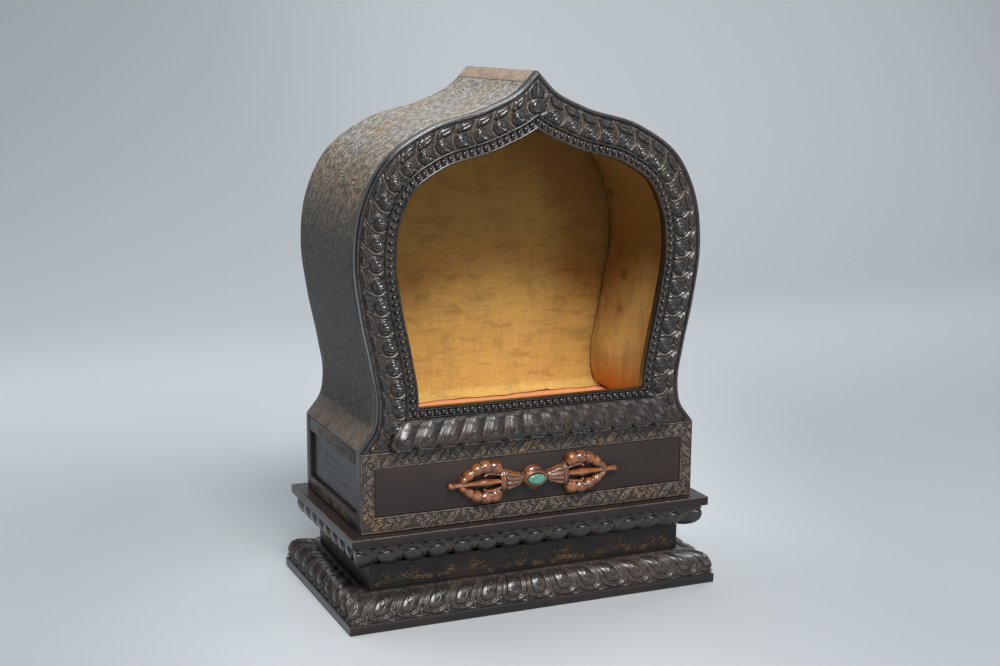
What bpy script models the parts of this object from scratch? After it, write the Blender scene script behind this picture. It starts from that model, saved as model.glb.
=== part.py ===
"""Carved hardwood shrine: an ogee-arched niche on a panelled box and a lotus-moulded plinth.

Metres, Z up. The front faces -Y, the plinth's middle is at X = Y = 0 and the foot stands on Z = 0.
"""
import math

import bmesh
import bpy
from mathutils import Vector

# Fits
SEAT_GAP = 0.0003
PANEL_PLAY = 0.0004

# Foot moulding
FOOT_WIDTH = 0.3014
FOOT_DEPTH = 0.1668
FOOT_HEIGHT = 0.0245
FOOT_EDGE_HEIGHT = 0.0070
FOOT_PETALS_FRONT = 13
FOOT_PETALS_SIDE = 7
FOOT_CORNER_PETAL = 0.0110
FOOT_PETAL_RELIEF = 0.0021
FOOT_PETAL_LEAN = 0.060
FOOT_WAIST_MARGIN = 0.0035

# Waist between the two mouldings
WAIST_WIDTH = 0.2572
WAIST_DEPTH = 0.1222
WAIST_HEIGHT = 0.0190
WAIST_BOARD = 0.0120

# Cornice slab with its lobed underside
SLAB_WIDTH = 0.2934
SLAB_DEPTH = 0.1554
SLAB_EDGE_HEIGHT = 0.0070
SLAB_EDGE_STEP = 0.0015
SLAB_PLATE = 0.0090
LOBE_HEIGHT = 0.0180
LOBES_FRONT = 13
LOBES_SIDE = 7
LOBE_CORNER = 0.0130
LOBE_RELIEF = 0.0022

# Box of frames and panels
BOX_WIDTH = 0.2728
BOX_FRONT_Y = -0.0679
BOX_BACK_Y = 0.0682
BOX_HEIGHT = 0.0597
BOX_FRAME_THICKNESS = 0.0110
BOX_BACK_THICKNESS = 0.0100
FRONT_STILE = 0.0101
FRONT_RAIL = 0.0117
FRONT_PANEL_RECESS = 0.0006
FRONT_PANEL_THICKNESS = 0.0070
SIDE_RAIL = 0.0113
SIDE_RAIL_THICKNESS = 0.0110
SIDE_PANEL_RECESS = 0.0030
SIDE_PANEL_THICKNESS = 0.0060

# Ogee arch
ARCH_HALF_WIDTH = 0.1387
ARCH_HEIGHT = 0.2706
HOOD_THICKNESS = 0.0100
HOOD_BACK_BOARD = 0.0075
ARCH_BOARD = 0.0067
OUTER_FILLET = 0.0040
SILL_FILLET = 0.0012
LEAF_BAND_INNER = 0.0216
BEAD_CHANNEL_OUTER = 0.0237
BEAD_CHANNEL_INNER = 0.0285
OPENING_OFFSET = 0.0309
OPENING_SILL = 0.0300
SILL_BORDER = 0.0073
LEAF_BAND_DEPTH = 0.0015
BEAD_CHANNEL_DEPTH = 0.0012
STEP_SLOPE = 0.0005
BEAD_DIAMETER = 0.0042
BEAD_PITCH = 0.0056
BEAD_RISE = 0.0019
LEAF_PITCH = 0.0160
ROUNDEL_DIAMETER = 0.0072
LEAF_RISE = 0.0024
LEAF_LEAN = 0.28

# Lotus band across the foot of the arch
LOTUS_BASE_WIDTH = 0.2300
LOTUS_TOP_WIDTH = 0.2040
LOTUS_PROJECTION = 0.0075
LOTUS_PETALS = 13
LOTUS_RELIEF = 0.0016
LOTUS_LEAN = 0.05
LOTUS_END_START = 0.93
LOTUS_END_FALL = 0.75

# Niche lining
FLOOR_BOARD = 0.0040
CLOTH_THICKNESS = 0.0012
SILK_THICKNESS = 0.0015
SILK_WALL_SPACE = 0.0030
SILK_SIDE_HOLLOW = 0.0005
SILK_BACK_SPACE = 0.0060
CLOTH_CLEAR_HEIGHT = 0.0200

# Double-ended ornament in half relief on the front panel
VAJRA_LENGTH = 0.1400
BEAD_WIDTH = 0.0176
BEAD_HEIGHT = 0.0186
MIDDLE_RISE = 0.0062
COLLET_WIDTH = 0.0196
COLLET_HEIGHT = 0.0134
COLLET_RISE = 0.0082
COLLAR_START = 0.0090
COLLAR_END = 0.0250
COLLAR_SMALL = 0.0052
COLLAR_LARGE = 0.0103
COLLAR_RISE = 0.0076
COLLAR_RING = 0.0016
CLAW_MIDDLE = 0.0440
CLAW_REACH = 0.0178
CLAW_SPREAD = 0.0142
CLAW_RADIUS = 0.0029
CLAW_RISE = 0.0058
CLAW_LOBES = 5
POINT_THIN = 0.0015
POINT_SWELL = 0.0029
POINT_RISE = 0.0066
POINT_FLARE = 0.0027
STONE_WIDTH = 0.0145
STONE_HEIGHT = 0.0078
STONE_RISE = 0.0017

# Outlines as shares of their own width and height, from the arch's tip down to its flare
ARCH_SHAPE = [
    (0.000, 1.000), (0.034, 0.982), (0.092, 0.952), (0.274, 0.9045), (0.605, 0.853), (0.843, 0.769),
    (0.9647, 0.6494), (1.000, 0.513), (0.9654, 0.359), (0.9113, 0.222), (0.8835, 0.120),
    (0.900, 0.060),
]
# Share of the way out from the waist, share of the moulding's height
FOOT_PROFILE = [
    (0.19, 0.985), (0.45, 0.975), (0.70, 0.875), (0.87, 0.650), (0.945, 0.425), (0.955, 0.325),
]
LOBE_PROFILE = [(0.10, 0.00), (0.48, 0.17), (0.76, 0.46), (0.88, 0.78), (0.89, 1.00)]
LOTUS_PROFILE = [(0.10, 1.00), (0.22, 0.84), (0.62, 0.60), (0.92, 0.34), (1.00, 0.14), (0.90, 0.00)]

# Mesh density
ARCH_STATIONS = 26
OUTLINE_SAMPLES = 16
PETAL_PHASES = (0.0, 0.22, 0.5, 0.78)
LOBE_PHASES = (0.0, 0.30, 0.70)
BORDER_SAMPLES = 60
PETAL_MEAN = 0.6

# Levels worked out from the sizes above
WAIST_BASE = FOOT_HEIGHT + SEAT_GAP
CORNICE_BASE = WAIST_BASE + WAIST_HEIGHT + SEAT_GAP
SLAB_EDGE_BASE = CORNICE_BASE + LOBE_HEIGHT
SLAB_TOP = SLAB_EDGE_BASE + SLAB_EDGE_HEIGHT
BOX_BASE = SLAB_TOP + SEAT_GAP
BOX_TOP = BOX_BASE + BOX_HEIGHT
ARCH_BASE = BOX_TOP + SEAT_GAP
SILL_LEVEL = ARCH_BASE + OPENING_SILL
ARCH_BOARD_BACK = BOX_FRONT_Y + ARCH_BOARD
HOOD_FRONT = ARCH_BOARD_BACK + SEAT_GAP
HOOD_BACK = BOX_BACK_Y
BACK_BOARD_FRONT = HOOD_BACK - HOOD_BACK_BOARD
FLOOR_TOP = ARCH_BASE + FLOOR_BOARD
SILK_BACK_FACE = BACK_BOARD_FRONT - SILK_BACK_SPACE
LOTUS_BASE = ARCH_BASE + SILL_FILLET
LOTUS_TOP = SILL_LEVEL - SILL_BORDER - STEP_SLOPE - SEAT_GAP
PANEL_FACE = BOX_FRONT_Y + FRONT_PANEL_RECESS
VAJRA_BACK = PANEL_FACE - SEAT_GAP
BOX_MIDDLE = BOX_BASE + BOX_HEIGHT / 2

for old_object in list(bpy.data.objects):
    bpy.data.objects.remove(old_object, do_unlink=True)


def collection(name):
    """A new collection in the scene."""
    made = bpy.data.collections.new(name)
    bpy.context.scene.collection.children.link(made)
    return made


SHRINE = collection("wooden_shrine")
CUTTERS = collection("cutters")


def material(name, colour, roughness, metallic=0.0):
    """A plain Principled material."""
    made = bpy.data.materials.new(name)
    made.use_nodes = True
    shader = made.node_tree.nodes["Principled BSDF"]
    shader.inputs["Base Color"].default_value = (*colour, 1.0)
    shader.inputs["Roughness"].default_value = roughness
    shader.inputs["Metallic"].default_value = metallic
    return made


DARK_WOOD = material("dark_wood", (0.030, 0.020, 0.017), 0.42)
PANEL_WOOD = material("panel_wood", (0.024, 0.018, 0.018), 0.36)
HOOD_WOOD = material("hood_wood", (0.075, 0.060, 0.047), 0.50)
BOXWOOD = material("boxwood", (0.330, 0.110, 0.045), 0.30)
TURQUOISE = material("turquoise", (0.110, 0.420, 0.330), 0.30)
SILK = material("silk", (0.420, 0.230, 0.065), 0.75)
ORANGE_CLOTH = material("orange_cloth", (0.700, 0.260, 0.090), 0.85)


def place(name, mesh, finish, where=SHRINE):
    """An object for a mesh whose points are already in their place."""
    mesh.materials.clear()
    mesh.materials.append(finish)
    made = bpy.data.objects.new(name, mesh)
    where.objects.link(made)
    if where is CUTTERS:
        made.hide_render = True
        made.display_type = "WIRE"
    return made


def mesh_from(name, points, faces, smooth_angle=None):
    """A mesh from points and faces, with its faces turned outwards."""
    shape = bmesh.new()
    corners = [shape.verts.new(point) for point in points]
    for face in faces:
        shape.faces.new([corners[index] for index in face])
    bmesh.ops.recalc_face_normals(shape, faces=shape.faces)
    mesh = bpy.data.meshes.new(name)
    shape.to_mesh(mesh)
    shape.free()
    if smooth_angle:
        mesh.shade_smooth()
        mesh.set_sharp_from_angle(angle=math.radians(smooth_angle))
    return mesh


def block(name, low, high, finish, edge=0.0, where=SHRINE):
    """A box between two corners, its edges softened by a Bevel."""
    bpy.ops.mesh.primitive_cube_add(size=1.0)
    made = bpy.context.object
    made.name = name
    size = [far - near for near, far in zip(low, high)]
    middle = [(far + near) / 2 for near, far in zip(low, high)]
    for corner in made.data.vertices:
        corner.co = Vector([value * length for value, length in zip(corner.co, size)])
    made.location = middle
    made.data.materials.append(finish)
    for owner in list(made.users_collection):
        owner.objects.unlink(made)
    where.objects.link(made)
    if where is CUTTERS:
        made.hide_render = True
        made.display_type = "WIRE"
    if edge:
        bevel = made.modifiers.new("softened edges", "BEVEL")
        bevel.width = edge
        bevel.segments = 1
    return made


def plate(name, outlines, front, back, finish, where=SHRINE):
    """A flat plate standing in the XZ plane, cut to outlines of (x, z), between two Y levels."""
    flat = bpy.data.curves.new(name, "CURVE")
    flat.dimensions = "2D"
    flat.fill_mode = "BOTH"
    flat.extrude = (back - front) / 2
    for outline in outlines:
        spline = flat.splines.new("POLY")
        spline.points.add(len(outline) - 1)
        for point, (x, z) in zip(spline.points, outline):
            point.co = (x, z, 0.0, 1.0)
        spline.use_cyclic_u = True
    drawn = bpy.data.objects.new(name + "_outline", flat)
    CUTTERS.objects.link(drawn)
    drawn.rotation_euler = (math.radians(90), 0.0, 0.0)
    drawn.location = (0.0, (front + back) / 2, 0.0)
    bpy.context.view_layer.update()
    graph = bpy.context.evaluated_depsgraph_get()
    solid = bpy.data.meshes.new_from_object(drawn.evaluated_get(graph))
    solid.name = name
    solid.transform(drawn.matrix_world)
    bpy.data.objects.remove(drawn, do_unlink=True)
    shape = bmesh.new()
    shape.from_mesh(solid)
    bmesh.ops.remove_doubles(shape, verts=shape.verts, dist=0.00001)
    bmesh.ops.recalc_face_normals(shape, faces=shape.faces)
    shape.to_mesh(solid)
    shape.free()
    return place(name, solid, finish, where)


def join_solids(target, others):
    """One body from overlapping ones, by Boolean unions."""
    for other in others:
        union = target.modifiers.new("join " + other.name, "BOOLEAN")
        union.operation = "UNION"
        union.solver = "EXACT"
        union.object = other


def blend(start, end, share):
    """The value a share of the way from start to end."""
    return start + (end - start) * share


# Curves of the arch


def outline_slope(before, knot, after):
    """The direction of travel at a knot, weighted towards its nearer neighbour."""
    near = (knot - before).length
    far = (after - knot).length
    return ((knot - before) / near * far + (after - knot) / far * near) / (near + far)


def arch_outline():
    """The right half of the arch's outer edge as dense (x, z) points, tip first."""
    knots = [Vector((x * ARCH_HALF_WIDTH, ARCH_BASE + z * ARCH_HEIGHT)) for x, z in ARCH_SHAPE]
    knots.append(Vector((BOX_WIDTH / 2, ARCH_BASE)))
    slopes = [outline_slope(*knots[index - 1:index + 2]) for index in range(1, len(knots) - 1)]
    slopes.insert(0, (knots[1] - knots[0]).normalized())
    slopes.append((knots[-1] - knots[-2]).normalized())
    points = []
    for index in range(len(knots) - 1):
        start, end = knots[index], knots[index + 1]
        length = (end - start).length
        for step in range(OUTLINE_SAMPLES):
            t = step / OUTLINE_SAMPLES
            points.append(
                start * (2 * t ** 3 - 3 * t ** 2 + 1)
                + slopes[index] * length * (t ** 3 - 2 * t ** 2 + t)
                + end * (3 * t ** 2 - 2 * t ** 3)
                + slopes[index + 1] * length * (t ** 3 - t ** 2)
            )
    points.append(knots[-1])
    return points


OUTLINE = arch_outline()


def inset_outline(inset, floor_level):
    """The outline moved inwards by inset(share), cut at the middle plane and at the floor level."""
    moved = []
    last = len(OUTLINE) - 1
    for index, point in enumerate(OUTLINE):
        along = OUTLINE[min(index + 1, last)] - OUTLINE[max(index - 1, 0)]
        inward = Vector((along.y, -along.x)).normalized()
        moved.append(point + inward * inset(index / last))
    kept = []
    for before, after in zip(moved, moved[1:]):
        if before.x < 0 <= after.x:
            kept = [before.lerp(after, before.x / (before.x - after.x))]
        if after.x < 0:
            continue
        if not kept:
            kept = [before]
        if after.y <= floor_level:
            kept.append(before.lerp(after, (before.y - floor_level) / (before.y - after.y)))
            break
        kept.append(after)
    if kept[-1].y > floor_level:
        kept.append(Vector((kept[-1].x, floor_level)))
    kept[0].x = 0.0
    return kept


def spaced(points, count):
    """Points at equal steps along a run of points."""
    lengths = [0.0]
    for before, after in zip(points, points[1:]):
        lengths.append(lengths[-1] + (after - before).length)
    chosen = []
    index = 0
    for step in range(count):
        target = lengths[-1] * step / (count - 1)
        while index < len(lengths) - 2 and lengths[index + 1] < target:
            index += 1
        span = lengths[index + 1] - lengths[index]
        share = (target - lengths[index]) / span if span else 0.0
        chosen.append(points[index].lerp(points[index + 1], min(share, 1.0)))
    return chosen


def arch_loop(inset, floor_level, count=ARCH_STATIONS):
    """A whole closed loop: left foot, tip, right foot."""
    amount = inset if callable(inset) else lambda share: inset
    right = spaced(inset_outline(amount, floor_level), count)
    left = [Vector((-point.x, point.y)) for point in reversed(right[1:])]
    return left + right


def loft_loops(name, loops, smooth_angle=None):
    """A closed ring of material through loops of points, the last joined to the first."""
    count = len(loops[0])
    points = [point for loop in loops for point in loop]
    faces = []
    for row in range(len(loops)):
        after = (row + 1) % len(loops)
        for column in range(count):
            beside = (column + 1) % count
            faces.append((row * count + column, row * count + beside,
                          after * count + beside, after * count + column))
    return mesh_from(name, points, faces, smooth_angle)


# Carved mouldings round the plinth


def petal_swell(phase):
    """How full a petal is at a phase of its width: nothing at its edges, full in its middle."""
    return 0.0 if phase == 0.0 else 1.0 - abs(phase - 0.5) * 0.5


def petal_stations(petals, half_length, corner_petal, phases):
    """Places along one side from -1 up to, not including, 1, each with its fullness."""
    edge = 1.0 - corner_petal / half_length
    pitch = 2 * edge / petals
    stations = [(-1.0, 1.0), (-(1.0 + edge) / 2, petal_swell(0.8))]
    for petal in range(petals):
        stations += [(-edge + (petal + phase) * pitch, petal_swell(phase)) for phase in phases]
    return stations + [(edge, 0.0), ((1.0 + edge) / 2, petal_swell(0.8))]


def ring_point(side, share, half_x, half_y, level):
    """A point on one side of a rectangle: front, right, back, left in turn."""
    if side == 0:
        return Vector((share * half_x, -half_y, level))
    if side == 1:
        return Vector((half_x, share * half_y, level))
    if side == 2:
        return Vector((-share * half_x, half_y, level))
    return Vector((-half_x, -share * half_y, level))


def carved_rows(profile, inner, outer, base, height, sides, relief, lean):
    """Rows of points for a moulding: profile shares turned into rings that swell at each petal."""
    downward = 1 if profile[0][1] > profile[-1][1] else -1
    rows = []
    for row, (out, up) in enumerate(profile):
        before = profile[max(row - 1, 0)]
        after = profile[min(row + 1, len(profile) - 1)]
        run = abs(after[0] - before[0]) * (outer[0] - inner[0])
        rise = abs(after[1] - before[1]) * height
        length = math.hypot(run, rise)
        relief_here = relief if 0 < row < len(profile) - 1 else 0.0
        points = []
        for side in range(4):
            for share, swell in sides[side]:
                lift = relief_here * (swell - PETAL_MEAN)
                half_x = blend(inner[0], outer[0], out) + lift * rise / length
                half_y = blend(inner[1], outer[1], out) + lift * rise / length
                level = base + up * height + downward * lift * run / length
                moved = share - lean * (1.0 - out) * math.sin(math.pi * share)
                points.append(ring_point(side, moved, half_x, half_y, level))
        rows.append(points)
    return rows


def ring_sides(counts, outer, corner, phases):
    """The stations of the front, right, back and left sides."""
    return [petal_stations(counts[side % 2], outer[side % 2], corner, phases) for side in range(4)]


def plain_ring(half_x, half_y, level):
    """The four corners of a rectangle, starting at the front left."""
    return [ring_point(side, -1.0, half_x, half_y, level) for side in range(4)]


def carved_moulding(name, rows, sides, after_last, before_first, capped):
    """A moulding: rows of carved points with plain rectangles beyond its last row and its first.

    Both lists of rectangles run away from the carving. Capped, each ends in a flat face; otherwise
    the two ends meet in one, and the moulding is an open frame.
    """
    width = len(rows[0])
    points = [point for row in rows for point in row]
    faces = []
    for row in range(len(rows) - 1):
        for column in range(width):
            beside = (column + 1) % width
            faces.append((row * width + column, row * width + beside,
                          (row + 1) * width + beside, (row + 1) * width + column))
    first_plain = len(points)
    points += [corner for ring in after_last + before_first for corner in ring]
    starts = [sum(len(stations) for stations in sides[:side]) for side in range(4)]
    sets_of_rings = [
        [first_plain + ring * 4 for ring in range(len(after_last))],
        [first_plain + (len(after_last) + ring) * 4 for ring in range(len(before_first))],
    ]
    for row, rings in ((len(rows) - 1, sets_of_rings[0]), (0, sets_of_rings[1])):
        for side in range(4):
            beside = (side + 1) % 4
            carved = [row * width + (starts[side] + step) % width for step in range(len(sides[side]) + 1)]
            faces.append(tuple(carved + [rings[0] + beside, rings[0] + side]))
            for near, far in zip(rings, rings[1:]):
                faces.append((near + side, near + beside, far + beside, far + side))
        if capped:
            faces.append(tuple(rings[-1] + side for side in range(4)))
    if not capped:
        for side in range(4):
            beside = (side + 1) % 4
            near, far = sets_of_rings[0][-1], sets_of_rings[1][-1]
            faces.append((near + side, near + beside, far + beside, far + side))
    return mesh_from(name, points, faces, 35)


def make_foot():
    """The lotus moulding that the shrine stands on: a frame, open underneath."""
    outer = (FOOT_WIDTH / 2, FOOT_DEPTH / 2)
    inner = (WAIST_WIDTH / 2, WAIST_DEPTH / 2)
    hollow = (inner[0] - WAIST_BOARD, inner[1] - WAIST_BOARD)
    sides = ring_sides((FOOT_PETALS_FRONT, FOOT_PETALS_SIDE), outer, FOOT_CORNER_PETAL, PETAL_PHASES)
    rows = carved_rows(FOOT_PROFILE, inner, outer, 0.0, FOOT_HEIGHT, sides,
                       FOOT_PETAL_RELIEF, FOOT_PETAL_LEAN)
    margin = FOOT_WAIST_MARGIN
    below = [
        plain_ring(outer[0], outer[1], FOOT_EDGE_HEIGHT),
        plain_ring(outer[0], outer[1], 0.0),
        plain_ring(hollow[0], hollow[1], 0.0),
    ]
    above = [
        plain_ring(inner[0] + margin, inner[1] + margin, FOOT_HEIGHT),
        plain_ring(hollow[0], hollow[1], FOOT_HEIGHT),
    ]
    mesh = carved_moulding("foot_moulding", rows, sides, below, above, capped=False)
    place("foot_moulding", mesh, DARK_WOOD)


def make_waist():
    """The set-back frame between the mouldings."""
    half = (WAIST_WIDTH / 2, WAIST_DEPTH / 2)
    hollow = (half[0] - WAIST_BOARD, half[1] - WAIST_BOARD)
    top = WAIST_BASE + WAIST_HEIGHT
    loops = [
        plain_ring(half[0], half[1], WAIST_BASE),
        plain_ring(half[0], half[1], top),
        plain_ring(hollow[0], hollow[1], top),
        plain_ring(hollow[0], hollow[1], WAIST_BASE),
    ]
    place("waist_frame", loft_loops("waist_frame", loops), DARK_WOOD)


def make_cornice():
    """The slab with lobes under its edge, hollowed from below inside the waist."""
    edge = (SLAB_WIDTH / 2, SLAB_DEPTH / 2)
    outer = (edge[0] - SLAB_EDGE_STEP, edge[1] - SLAB_EDGE_STEP)
    inner = (WAIST_WIDTH / 2, WAIST_DEPTH / 2)
    hollow = (inner[0] - WAIST_BOARD, inner[1] - WAIST_BOARD)
    sides = ring_sides((LOBES_FRONT, LOBES_SIDE), outer, LOBE_CORNER, LOBE_PHASES)
    rows = carved_rows(LOBE_PROFILE, inner, outer, CORNICE_BASE, LOBE_HEIGHT, sides, LOBE_RELIEF, 0.0)
    above = [
        plain_ring(edge[0], edge[1], SLAB_EDGE_BASE),
        plain_ring(edge[0], edge[1], SLAB_TOP),
    ]
    below = [
        plain_ring(hollow[0], hollow[1], CORNICE_BASE),
        plain_ring(hollow[0], hollow[1], SLAB_TOP - SLAB_PLATE),
    ]
    mesh = carved_moulding("cornice_slab", rows, sides, above, below, capped=True)
    place("cornice_slab", mesh, DARK_WOOD)


def make_box():
    """The box under the arch: front frame and panel, side rails and panels, and a plain back."""
    half = BOX_WIDTH / 2
    back_inner = BOX_BACK_Y - BOX_BACK_THICKNESS
    frame_back = BOX_FRONT_Y + BOX_FRAME_THICKNESS
    outer = [(-half, BOX_BASE), (half, BOX_BASE), (half, BOX_TOP), (-half, BOX_TOP)]
    window_x = half - FRONT_STILE
    window_low = BOX_BASE + FRONT_RAIL
    window_high = BOX_TOP - FRONT_RAIL
    window = [(-window_x, window_low), (window_x, window_low), (window_x, window_high),
              (-window_x, window_high)]
    plate("box_front_frame", [outer, window], BOX_FRONT_Y, frame_back, DARK_WOOD)
    block("box_front_panel",
          (-window_x + PANEL_PLAY, PANEL_FACE, window_low + PANEL_PLAY),
          (window_x - PANEL_PLAY, PANEL_FACE + FRONT_PANEL_THICKNESS, window_high - PANEL_PLAY),
          PANEL_WOOD, 0.0006)
    block("box_back_board", (-half, back_inner, BOX_BASE), (half, BOX_BACK_Y, BOX_TOP), DARK_WOOD)
    rail_front = frame_back + SEAT_GAP
    rail_back = back_inner - SEAT_GAP
    panel_low = BOX_BASE + SIDE_RAIL + PANEL_PLAY
    panel_high = BOX_TOP - SIDE_RAIL - PANEL_PLAY
    for side, word in ((-1, "left"), (1, "right")):
        rail = sorted((side * half, side * (half - SIDE_RAIL_THICKNESS)))
        panel_face = side * (half - SIDE_PANEL_RECESS)
        panel = sorted((panel_face, panel_face - side * SIDE_PANEL_THICKNESS))
        block("box_rail_bottom_" + word, (rail[0], rail_front, BOX_BASE),
              (rail[1], rail_back, BOX_BASE + SIDE_RAIL), DARK_WOOD)
        block("box_rail_top_" + word, (rail[0], rail_front, BOX_TOP - SIDE_RAIL),
              (rail[1], rail_back, BOX_TOP), DARK_WOOD)
        block("box_side_panel_" + word, (panel[0], rail_front, panel_low),
              (panel[1], rail_back, panel_high), PANEL_WOOD)


def outline_pairs(loop):
    """The loop's points as plain (x, z) pairs."""
    return [(point.x, point.y) for point in loop]


def horseshoe(outer_inset, inner_inset, outer_level, inner_level, count):
    """An arch-shaped strip between two insets, open at its foot."""
    outer = arch_loop(outer_inset, outer_level, count)
    inner = arch_loop(inner_inset, inner_level, count)
    return outline_pairs(outer) + outline_pairs(reversed(inner))


def silk_inset(share):
    """How far the silk stands in from the arch's edge: most at the widest place."""
    return HOOD_THICKNESS + SILK_WALL_SPACE + SILK_SIDE_HOLLOW * math.sin(math.pi * share) ** 2


def make_hood():
    """The curved hood, its back board and the floor of the niche."""
    strip = horseshoe(0.0, HOOD_THICKNESS, ARCH_BASE, ARCH_BASE, ARCH_STATIONS)
    plate("hood_shell", [strip], HOOD_FRONT, HOOD_BACK, HOOD_WOOD)
    inside = arch_loop(HOOD_THICKNESS + SEAT_GAP, ARCH_BASE)
    plate("hood_back_board", [outline_pairs(inside)], BACK_BOARD_FRONT, HOOD_BACK, DARK_WOOD)
    reach = min(point.x for point in inset_outline(lambda share: HOOD_THICKNESS + SEAT_GAP, ARCH_BASE)
                if point.y < FLOOR_TOP + SILK_WALL_SPACE)
    block("niche_floor_board", (-reach + SEAT_GAP, HOOD_FRONT, ARCH_BASE),
          (reach - SEAT_GAP, BACK_BOARD_FRONT - SEAT_GAP, FLOOR_TOP), DARK_WOOD)


def make_lining():
    """The silk on the back and the sides, and the orange cloth on the floor."""
    base = FLOOR_TOP + SEAT_GAP
    back_loop = arch_loop(silk_inset, base, 18)
    plate("silk_back", [outline_pairs(back_loop)], SILK_BACK_FACE, SILK_BACK_FACE + SILK_THICKNESS, SILK)
    strip = horseshoe(silk_inset, lambda share: silk_inset(share) + SILK_THICKNESS, base, base, 18)
    plate("silk_sides", [strip], HOOD_FRONT + SEAT_GAP, SILK_BACK_FACE - SEAT_GAP, SILK)
    foot_x = back_loop[-1].x - SILK_THICKNESS - SEAT_GAP
    narrowest = min(abs(point.x) for point in back_loop if point.y < base + CLOTH_CLEAR_HEIGHT)
    reach = min(foot_x, narrowest - SILK_THICKNESS)
    block("floor_cloth", (-reach + SEAT_GAP, HOOD_FRONT + SEAT_GAP, base),
          (reach - SEAT_GAP, SILK_BACK_FACE - SEAT_GAP, base + CLOTH_THICKNESS), ORANGE_CLOTH)


def border_place(run, distance):
    """The point and the inward direction at a distance along a run of border points."""
    walked = 0.0
    for before, after in zip(run, run[1:]):
        step = (after - before).length
        if walked + step >= distance:
            break
        walked += step
    along = (after - before).normalized()
    return before + along * (distance - walked), Vector((along.y, -along.x))


def run_length(points):
    """The length of a run of points."""
    return sum((after - before).length for before, after in zip(points, points[1:]))


def add_boss(shape, outline, back, front):
    """A closed low cone over an outline of (x, z) points, standing out towards the front."""
    centre = sum(outline, Vector((0.0, 0.0))) / len(outline)
    rim = [shape.verts.new((point.x, back, point.y)) for point in outline]
    tip = shape.verts.new((centre.x, front, centre.y))
    for step in range(len(rim)):
        shape.faces.new((rim[step], rim[(step + 1) % len(rim)], tip))
    shape.faces.new(rim[::-1])


def hexagon(centre, radius, along, inward):
    """Six (x, z) points round a centre."""
    turns = [math.pi * step / 3 for step in range(6)]
    return [centre + (along * math.cos(turn) + inward * math.sin(turn)) * radius for turn in turns]


def sill(inset):
    """The level of a loop's bottom run: the rims and beads pass under the opening too."""
    border = OPENING_OFFSET - LEAF_BAND_INNER
    return SILL_LEVEL - (OPENING_OFFSET - inset) * SILL_BORDER / border


def leaf_unit(centre, inward, along, lean):
    """The outlines of one unit of the leaf band: a roundel and a three-lobed leaf."""
    half_band = (LEAF_BAND_INNER - OUTER_FILLET) / 2
    roundel = centre + inward * (half_band - ROUNDEL_DIAMETER * 0.62)
    tip = centre - inward * (half_band - OUTER_FILLET * 0.3) - along * (lean * LEAF_PITCH)
    notch = inward * (ROUNDEL_DIAMETER * 0.08)
    leaf = [
        tip,
        centre - along * (LEAF_PITCH * 0.34),
        centre - along * (LEAF_PITCH * 0.12) + notch,
        centre + along * (LEAF_PITCH * 0.22) + notch,
        tip.lerp(centre, 0.5) + along * (LEAF_PITCH * 0.30),
    ]
    return [hexagon(roundel, ROUNDEL_DIAMETER / 2, along, inward), leaf]


def make_arch_board():
    """The front board: a sunk band of leaves, a channel of beads and the opening."""
    face = BOX_FRONT_Y
    leaf_floor = face + LEAF_BAND_DEPTH
    bead_floor = face + BEAD_CHANNEL_DEPTH
    steps = [
        (0.0, ARCH_BASE, ARCH_BOARD_BACK),
        (0.0, ARCH_BASE, face),
        (OUTER_FILLET - STEP_SLOPE, LOTUS_BASE - STEP_SLOPE, face),
        (OUTER_FILLET, LOTUS_BASE, leaf_floor),
    ]
    for inset, level in (
        (LEAF_BAND_INNER - STEP_SLOPE, leaf_floor),
        (LEAF_BAND_INNER, face),
        (BEAD_CHANNEL_OUTER, face),
        (BEAD_CHANNEL_OUTER + STEP_SLOPE, bead_floor),
        (BEAD_CHANNEL_INNER - STEP_SLOPE, bead_floor),
        (BEAD_CHANNEL_INNER, face),
        (OPENING_OFFSET, face),
        (OPENING_OFFSET, ARCH_BOARD_BACK),
    ):
        steps.append((inset, sill(inset), level))
    loops = [[Vector((point.x, depth, point.y)) for point in arch_loop(inset, foot)]
             for inset, foot, depth in steps]
    board = place("arch_front_board", loft_loops("arch_front_board", loops, 30), DARK_WOOD)

    carving = bmesh.new()
    bead_inset = (BEAD_CHANNEL_OUTER + BEAD_CHANNEL_INNER) / 2
    bead_run = arch_loop(bead_inset, sill(bead_inset), BORDER_SAMPLES)
    bead_run.append(bead_run[0])
    length = run_length(bead_run)
    beads = round(length / BEAD_PITCH)
    for bead in range(beads):
        centre, inward = border_place(bead_run, length * bead / beads)
        outline = hexagon(centre, BEAD_DIAMETER / 2, Vector((inward.y, -inward.x)), inward)
        add_boss(carving, outline, bead_floor + SEAT_GAP, bead_floor - BEAD_RISE)

    leaf_middle = (OUTER_FILLET + LEAF_BAND_INNER) / 2
    leaf_run = spaced(inset_outline(lambda share: leaf_middle, LOTUS_TOP), BORDER_SAMPLES)
    outlines = leaf_unit(leaf_run[0], Vector((0.0, -1.0)), Vector((1.0, 0.0)), 0.0)
    for leaf in range(1, int(run_length(leaf_run) / LEAF_PITCH) + 1):
        centre, inward = border_place(leaf_run, leaf * LEAF_PITCH)
        for outline in leaf_unit(centre, inward, Vector((inward.y, -inward.x)), LEAF_LEAN):
            outlines.append(outline)
            outlines.append([Vector((-point.x, point.y)) for point in outline])
    for outline in outlines:
        add_boss(carving, outline, leaf_floor + SEAT_GAP, leaf_floor - LEAF_RISE)
    bmesh.ops.recalc_face_normals(carving, faces=carving.faces)
    carved = bpy.data.meshes.new("beads_and_leaves")
    carving.to_mesh(carved)
    carving.free()
    join_solids(board, [place("beads_and_leaves", carved, DARK_WOOD, CUTTERS)])


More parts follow.
